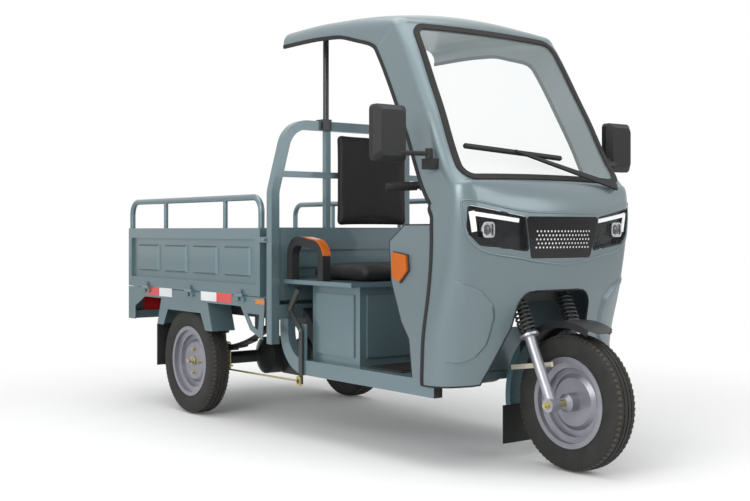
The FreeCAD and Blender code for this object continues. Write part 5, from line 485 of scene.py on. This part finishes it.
# Reflective strips: red and white sheeting with a honeycomb of tiny cells, stuck to the bed's sills,
# and a short amber reflector ahead of them on each side.
CELL_SCALE, CELL_STRENGTH = 260.0, 0.4
FILM_THICK, FILM_EDGE, OUTSIDE = 0.0012, 0.0004, 0.8
TALL, LOW = (0.572, 0.042), (0.569, 0.021)
films = {}
for word, colours in (("red", ((0.55, 0.03, 0.03), (0.68, 0.06, 0.05))),
                      ("white", ((0.66, 0.68, 0.68), (0.8, 0.82, 0.82))),
                      ("amber", ((0.5, 0.15, 0.01), (0.62, 0.2, 0.02)))):
    films[word] = coating(f"{word}_film", colours, (0.18, 0.3), lacquer=0.6)
    cells = emboss(films[word], "ShaderNodeTexVoronoi", "Distance", CELL_STRENGTH)
    cells.feature = "DISTANCE_TO_EDGE"
    cells.inputs["Scale"].default_value = CELL_SCALE
for name, back, ahead, (film_z, film_height), word, slot in (
        ("rear_red", -1.225, -1.085, TALL, "red", "red_lens"),
        ("rear_white", -1.085, -0.952, TALL, "white", "lens"),
        ("front_white", -0.659, -0.513, TALL, "white", "lens"),
        ("front_red", -0.513, -0.373, TALL, "red", "red_lens"),
        ("amber", -0.171, -0.097, LOW, "amber", "amber")):
    for side, hand in SIDES:
        start = Vector(((back + ahead) / 2, side * OUTSIDE, film_z))
        _, sill, _, _ = nodes["cargo_bed"].ray_cast(start, Vector((0, -side, 0)))
        strip = bmesh.new()
        film = bmesh.ops.create_cube(strip, size=1)["verts"]
        bmesh.ops.scale(strip, verts=film, vec=(ahead - back, FILM_THICK, film_height))
        bmesh.ops.translate(strip, verts=film, vec=(start.x, sill.y + side * FILM_THICK / 2, film_z))
        bmesh.ops.bevel(strip, geom=strip.edges[:], offset=FILM_EDGE, segments=1, profile=0.5,
                        affect="EDGES", material=-1)
        film_piece = piece_of(strip, f"strip_{name}_{hand}", films[word])
        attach(film_piece, "body")


# Rubber hems: a split cord pressed over the raw edge of the moulding, round the wheel arch and along
# the bottom of the cab, and round the free edge of each leg shield.
HEM_RADIUS, HEM_SIDES, HEM_INSET, CAB_LIFT = 0.0032, 8, 0.002, 0.0015
CORNER = Vector((0.85, -0.31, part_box("cab_shell")[0][2] + CAB_LIFT))
CORNER_TURNS, ARCH_TURNS, ARCH_EYE_Z = range(76, 4, -4), range(-19, 91, 3), 0.42
ARCH_NEAR, ARCH_FAR, ARCH_STEP, ARCH_CLOSE = 0.1, 0.6, 0.02, 0.0002
WING_SHARES = ((0.53, 0.004), (0.50, 0.11), (0.46, 0.25), (0.28, 0.36), (0.05, 0.62), (0, 0.89),
               (0.36, 1), (0.93, 1))


def hem(name, path, radius, finish, closed=False):
    """A round cord along a line of points, with its joints mitred."""
    cord = bmesh.new()
    rings = []
    last = len(path) - 1
    for number, spot in enumerate(path):
        before = path[number - 1] if number or closed else spot
        after = path[(number + 1) % len(path)] if number < last or closed else spot
        along = (after - before).normalized()
        ring = bmesh.ops.create_circle(cord, segments=HEM_SIDES, radius=radius)["verts"]
        bmesh.ops.rotate(cord, verts=ring, matrix=along.to_track_quat("Z", "Y").to_matrix())
        bmesh.ops.translate(cord, verts=ring, vec=spot)
        rings.append({edge for vertex in ring for edge in vertex.link_edges})
    pairs = list(zip(rings, rings[1:])) + ([(rings[-1], rings[0])] if closed else [])
    for ring, following in pairs:
        bmesh.ops.bridge_loops(cord, edges=list(ring | following))
    if not closed:
        for ring in (rings[0], rings[-1]):
            bmesh.ops.edgenet_fill(cord, edges=list(ring))
    bmesh.ops.recalc_face_normals(cord, faces=cord.faces[:])
    for face in cord.faces:
        face.smooth = True
    piece = piece_of(cord, name, finish)
    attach(piece, "body")


def arch_edge(turn):
    """Feels outwards from the middle of the wheel arch for the edge of the cab moulding."""
    reach, step, edge = ARCH_NEAR, ARCH_STEP, None
    while step > ARCH_CLOSE and reach < ARCH_FAR:
        up = ARCH_EYE_Z + reach * math.sin(math.radians(turn))
        spot, _ = from_ahead("cab_shell", -reach * math.cos(math.radians(turn)), up)
        edge = spot or edge
        reach += -step if spot else step
        step = step / 2 if spot else step
    return edge


def mirrored(path):
    """The same line on the other side of the vehicle, run backwards."""
    return [Vector((spot.x, -spot.y, spot.z)) for spot in reversed(path)]


half_path = []
for turn in CORNER_TURNS:
    out = Vector((math.cos(math.radians(turn)), -math.sin(math.radians(turn)), 0))
    struck, spot, _, _ = nodes["cab_shell"].ray_cast(CORNER + out, -out)
    half_path += [spot] if struck else []
for turn in ARCH_TURNS:
    spot = arch_edge(turn)
    half_path += [spot] if spot else []
hem("cab_hem", half_path + mirrored(half_path[:-1]), HEM_RADIUS, rubber)
shield_low, shield_high = (Vector(corner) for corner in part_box("leg_shield"))
shield_size = shield_high - shield_low
for side, word in SIDES:
    edge = [Vector((shield_low.x + along * shield_size.x, side * (shield_high.y - HEM_INSET),
                    shield_low.z + up * shield_size.z)) for along, up in WING_SHARES]
    hem(f"leg_shield_hem_{word}", edge, HEM_RADIUS, rubber)


# Lamp lip: a rolled bead in the cab moulding that runs round the lamps and the grille. It is part of
# the moulding, so it has the cab's paint.
LIP = ((0.0, 0.944), (0.19, 0.944), (0.34, 0.972), (0.438, 0.992), (0.444, 0.969), (0.433, 0.894),
       (0.413, 0.834), (0.345, 0.796), (0.182, 0.776), (0.145, 0.766), (0.0, 0.752))
LIP_RADIUS, LIP_ROUNDINGS = 0.0042, 3
lip_line = [Vector(spot) for spot in LIP]
for rounding in range(LIP_ROUNDINGS):
    rounded = [lip_line[0]]
    for here, there in zip(lip_line, lip_line[1:]):
        rounded += [here.lerp(there, 0.25), here.lerp(there, 0.75)]
    lip_line = rounded + [lip_line[-1]]
bead = [from_ahead("cab_shell", -point.x, point.y)[0] for point in lip_line]
half_lip = [spot for spot in bead if spot]
hem("lamp_lip", half_lip + mirrored(half_lip[1:-1]), LIP_RADIUS, cab_paint, closed=True)


# Knee bulge: the cab moulding swells at each front corner beside the wheel arch, with a hard front
# edge that fades out round the corner. It is part of the moulding and has its paint.
BULGE_EDGE = ((0.700, 0.438), (0.688, 0.408), (0.662, 0.343), (0.613, 0.288), (0.563, 0.273),
              (0.507, 0.279), (0.465, 0.289), (0.422, 0.327), (0.404, 0.38))
BULGE_CORNER, BULGE_RISE, BULGE_STEP, BULGE_SUNK, BULGE_THICK = 0.447, 0.011, 0.018, 0.0008, 0.001
BULGE_FADE, BULGE_FULL_WIDTH, BULGE_LEAST_WIDTH, BULGE_SLACK = 1.3, 0.07, 0.01, 1e-6
BULGE_ROWS, BULGE_COLUMNS = 48, 40
BULGE_TOP, BULGE_FOOT = BULGE_EDGE[0][0], BULGE_EDGE[-1][0]


def eased(share):
    """A share from 0 to 1 that starts and ends gently."""
    return share * share * (3 - 2 * share)


for side, word in SIDES:
    bulge = bmesh.new()
    patch = bmesh.ops.create_grid(bulge, x_segments=BULGE_COLUMNS, y_segments=BULGE_ROWS,
                                  size=0.5)["verts"]
    for vertex in patch:
        across, up = vertex.co.x + 0.5, vertex.co.y + 0.5
        z = BULGE_FOOT + up * (BULGE_TOP - BULGE_FOOT)
        above, below = next((upper, lower) for upper, lower in zip(BULGE_EDGE, BULGE_EDGE[1:])
                            if lower[0] - BULGE_SLACK <= z)
        front = above[1] + (below[1] - above[1]) * (above[0] - z) / (above[0] - below[0])
        wide = BULGE_CORNER - front
        aside = front + across * across * wide
        rise = min(1, (aside - front) / BULGE_STEP)
        fade = min(1, BULGE_FADE * (BULGE_CORNER - aside) / max(wide, BULGE_LEAST_WIDTH))
        swell = eased(rise) * eased(fade) * min(1, wide / BULGE_FULL_WIDTH)
        spot, out = from_ahead("cab_shell", side * aside, z)
        vertex.co = spot + out * (swell * BULGE_RISE - BULGE_SUNK)
    for face in bulge.faces:
        face.smooth = True
    bmesh.ops.recalc_face_normals(bulge, faces=bulge.faces[:])
    if sum(face.normal.x for face in bulge.faces) < 0:
        bmesh.ops.reverse_faces(bulge, faces=bulge.faces[:])
    bmesh.ops.solidify(bulge, geom=bulge.faces[:], thickness=BULGE_THICK)
    swelling = piece_of(bulge, f"knee_bulge_{word}", cab_paint)
    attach(swelling, "body")


# Marker lamp frames: a black plastic rim round each amber lens, moulded with the lamp's base and
# clipped into the leg shield.
MARKER_SHARES = ((0.12, 0.66), (0.28, 0.62), (0.47, 0.70), (0.45, 0.80), (0.12, 0.82))
MARKER_RADIUS, MARKER_PROUD = 0.0042, 0.001
for side, word in SIDES:
    rim = [Vector((shield_low.x + along * shield_size.x, side * (shield_high.y + MARKER_PROUD),
                   shield_low.z + up * shield_size.z)) for along, up in MARKER_SHARES]
    hem(f"marker_frame_{word}", rim, MARKER_RADIUS, black_plastic, closed=True)


# Rail plugs: a moulded black plastic cap, knocked into the open front end of each door sill. A thin
# flange covers the end of the tube and a block behind it grips the inside.
PLUG_BLOCKS = (((0.003, 0.038, 0.062), 0.0016), ((0.014, 0.0325, 0.0565), -0.007))
RAIL_Y, RAIL_MIDDLE = 0.430, 0.031
rail_low, rail_high = (Vector(corner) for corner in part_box("cab_side_rails"))
for side, word in SIDES:
    plug = bmesh.new()
    for size, middle in PLUG_BLOCKS:
        block = bmesh.ops.create_cube(plug, size=1)["verts"]
        bmesh.ops.scale(plug, verts=block, vec=size)
        bmesh.ops.translate(plug, verts=block,
                            vec=(rail_high.x + middle, side * RAIL_Y, rail_low.z + RAIL_MIDDLE))
    cap = piece_of(plug, f"rail_plug_{word}", black_plastic)
    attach(cap, "body")


# Studio: a white floor that melts into the white backdrop, soft light from above and from the
# camera's left, and the camera where the photograph was taken from.
FLOOR_HALF, FLOOR_GAP, FLOOR_WHITE, FLOOR_ROUGH = 30, 0.0003, (0.92, 0.92, 0.92, 1), 0.9
FADE_FROM, FADE_TO, FADE_LEAST = 1.1, 3.2, 0.05
SKY_LIGHT, SKY_SEEN = 0.55, 1.0
SOFTBOXES = (("top_softbox", (0.3, -0.6, 4.4), (0.0, 0.0, 0.8), 115, 4.4),
             ("side_softbox", (2.2, -4.4, 2.6), (0.2, 0.0, 0.7), 110, 2.6),
             ("front_softbox", (4.6, 1.8, 2.4), (0.8, 0.0, 0.8), 40, 2.2))
CAMERA_PLACE, CAMERA_AIM = (4.065, -3.110, 0.880), (-0.7944, 0.6074, 0)
CAMERA_LENS, CAMERA_SENSOR, CAMERA_SHIFT = 54.48, 36, -0.0273
paper = bpy.data.materials.new("white_floor")
paper.use_nodes = True
tree = paper.node_tree
matt = tree.nodes["Principled BSDF"]
matt.inputs["Base Color"].default_value = FLOOR_WHITE
matt.inputs["Roughness"].default_value = FLOOR_ROUGH
glow = tree.nodes.new("ShaderNodeEmission")
place = tree.nodes.new("ShaderNodeTexCoord")
away = tree.nodes.new("ShaderNodeVectorMath")
away.operation = "LENGTH"
fade = tree.nodes.new("ShaderNodeMapRange")
fade.interpolation_type = "SMOOTHSTEP"
fade.inputs["From Min"].default_value = FADE_FROM
fade.inputs["From Max"].default_value = FADE_TO
fade.inputs["To Min"].default_value = FADE_LEAST
tree.links.new(place.outputs["Object"], away.inputs[0])
tree.links.new(away.outputs["Value"], fade.inputs["Value"])
eye_path = tree.nodes.new("ShaderNodeLightPath")
watched = tree.nodes.new("ShaderNodeMath")
watched.operation = "MULTIPLY"
tree.links.new(eye_path.outputs["Is Camera Ray"], watched.inputs[0])
tree.links.new(fade.outputs["Result"], watched.inputs[1])
melt = tree.nodes.new("ShaderNodeMixShader")
tree.links.new(watched.outputs["Value"], melt.inputs["Fac"])
tree.links.new(matt.outputs["BSDF"], melt.inputs[1])
tree.links.new(glow.outputs["Emission"], melt.inputs[2])
tree.links.new(melt.outputs["Shader"], tree.nodes["Material Output"].inputs["Surface"])
floor = bmesh.new()
bmesh.ops.create_grid(floor, x_segments=1, y_segments=1, size=FLOOR_HALF)
bmesh.ops.translate(floor, verts=floor.verts[:], vec=(0, 0, -TREAD_PROUD - FLOOR_GAP))
ground = piece_of(floor, "floor", paper)
world = bpy.data.worlds.new("studio")
scene.world = world
world.use_nodes = True
tree = world.node_tree
sky = tree.nodes["Background"]
sky.inputs["Color"].default_value = (1, 1, 1, 1)
sky_path = tree.nodes.new("ShaderNodeLightPath")
either = tree.nodes.new("ShaderNodeMath")
either.operation = "MAXIMUM"
seen = tree.nodes.new("ShaderNodeMath")
seen.operation = "MAXIMUM"
level = tree.nodes.new("ShaderNodeMapRange")
level.inputs["To Min"].default_value = SKY_LIGHT
level.inputs["To Max"].default_value = SKY_SEEN
tree.links.new(sky_path.outputs["Is Camera Ray"], either.inputs[0])
tree.links.new(sky_path.outputs["Is Glossy Ray"], either.inputs[1])
tree.links.new(either.outputs["Value"], seen.inputs[0])
tree.links.new(sky_path.outputs["Is Transmission Ray"], seen.inputs[1])
tree.links.new(seen.outputs["Value"], level.inputs["Value"])
tree.links.new(level.outputs["Result"], sky.inputs["Strength"])
for name, spot, aim, power, spread in SOFTBOXES:
    lamp = bpy.data.lights.new(name, "AREA")
    lamp.energy = power
    lamp.size = spread
    light = bpy.data.objects.new(name, lamp)
    light.location = spot
    light.rotation_euler = (Vector(aim) - Vector(spot)).to_track_quat("-Z", "Y").to_euler()
    scene.collection.objects.link(light)
lens = bpy.data.cameras.new("camera")
lens.lens = CAMERA_LENS
lens.sensor_width = CAMERA_SENSOR
lens.shift_y = CAMERA_SHIFT
camera = bpy.data.objects.new("camera", lens)
camera.location = CAMERA_PLACE
camera.rotation_euler = Vector(CAMERA_AIM).to_track_quat("-Z", "Y").to_euler()
scene.collection.objects.link(camera)
scene.camera = camera
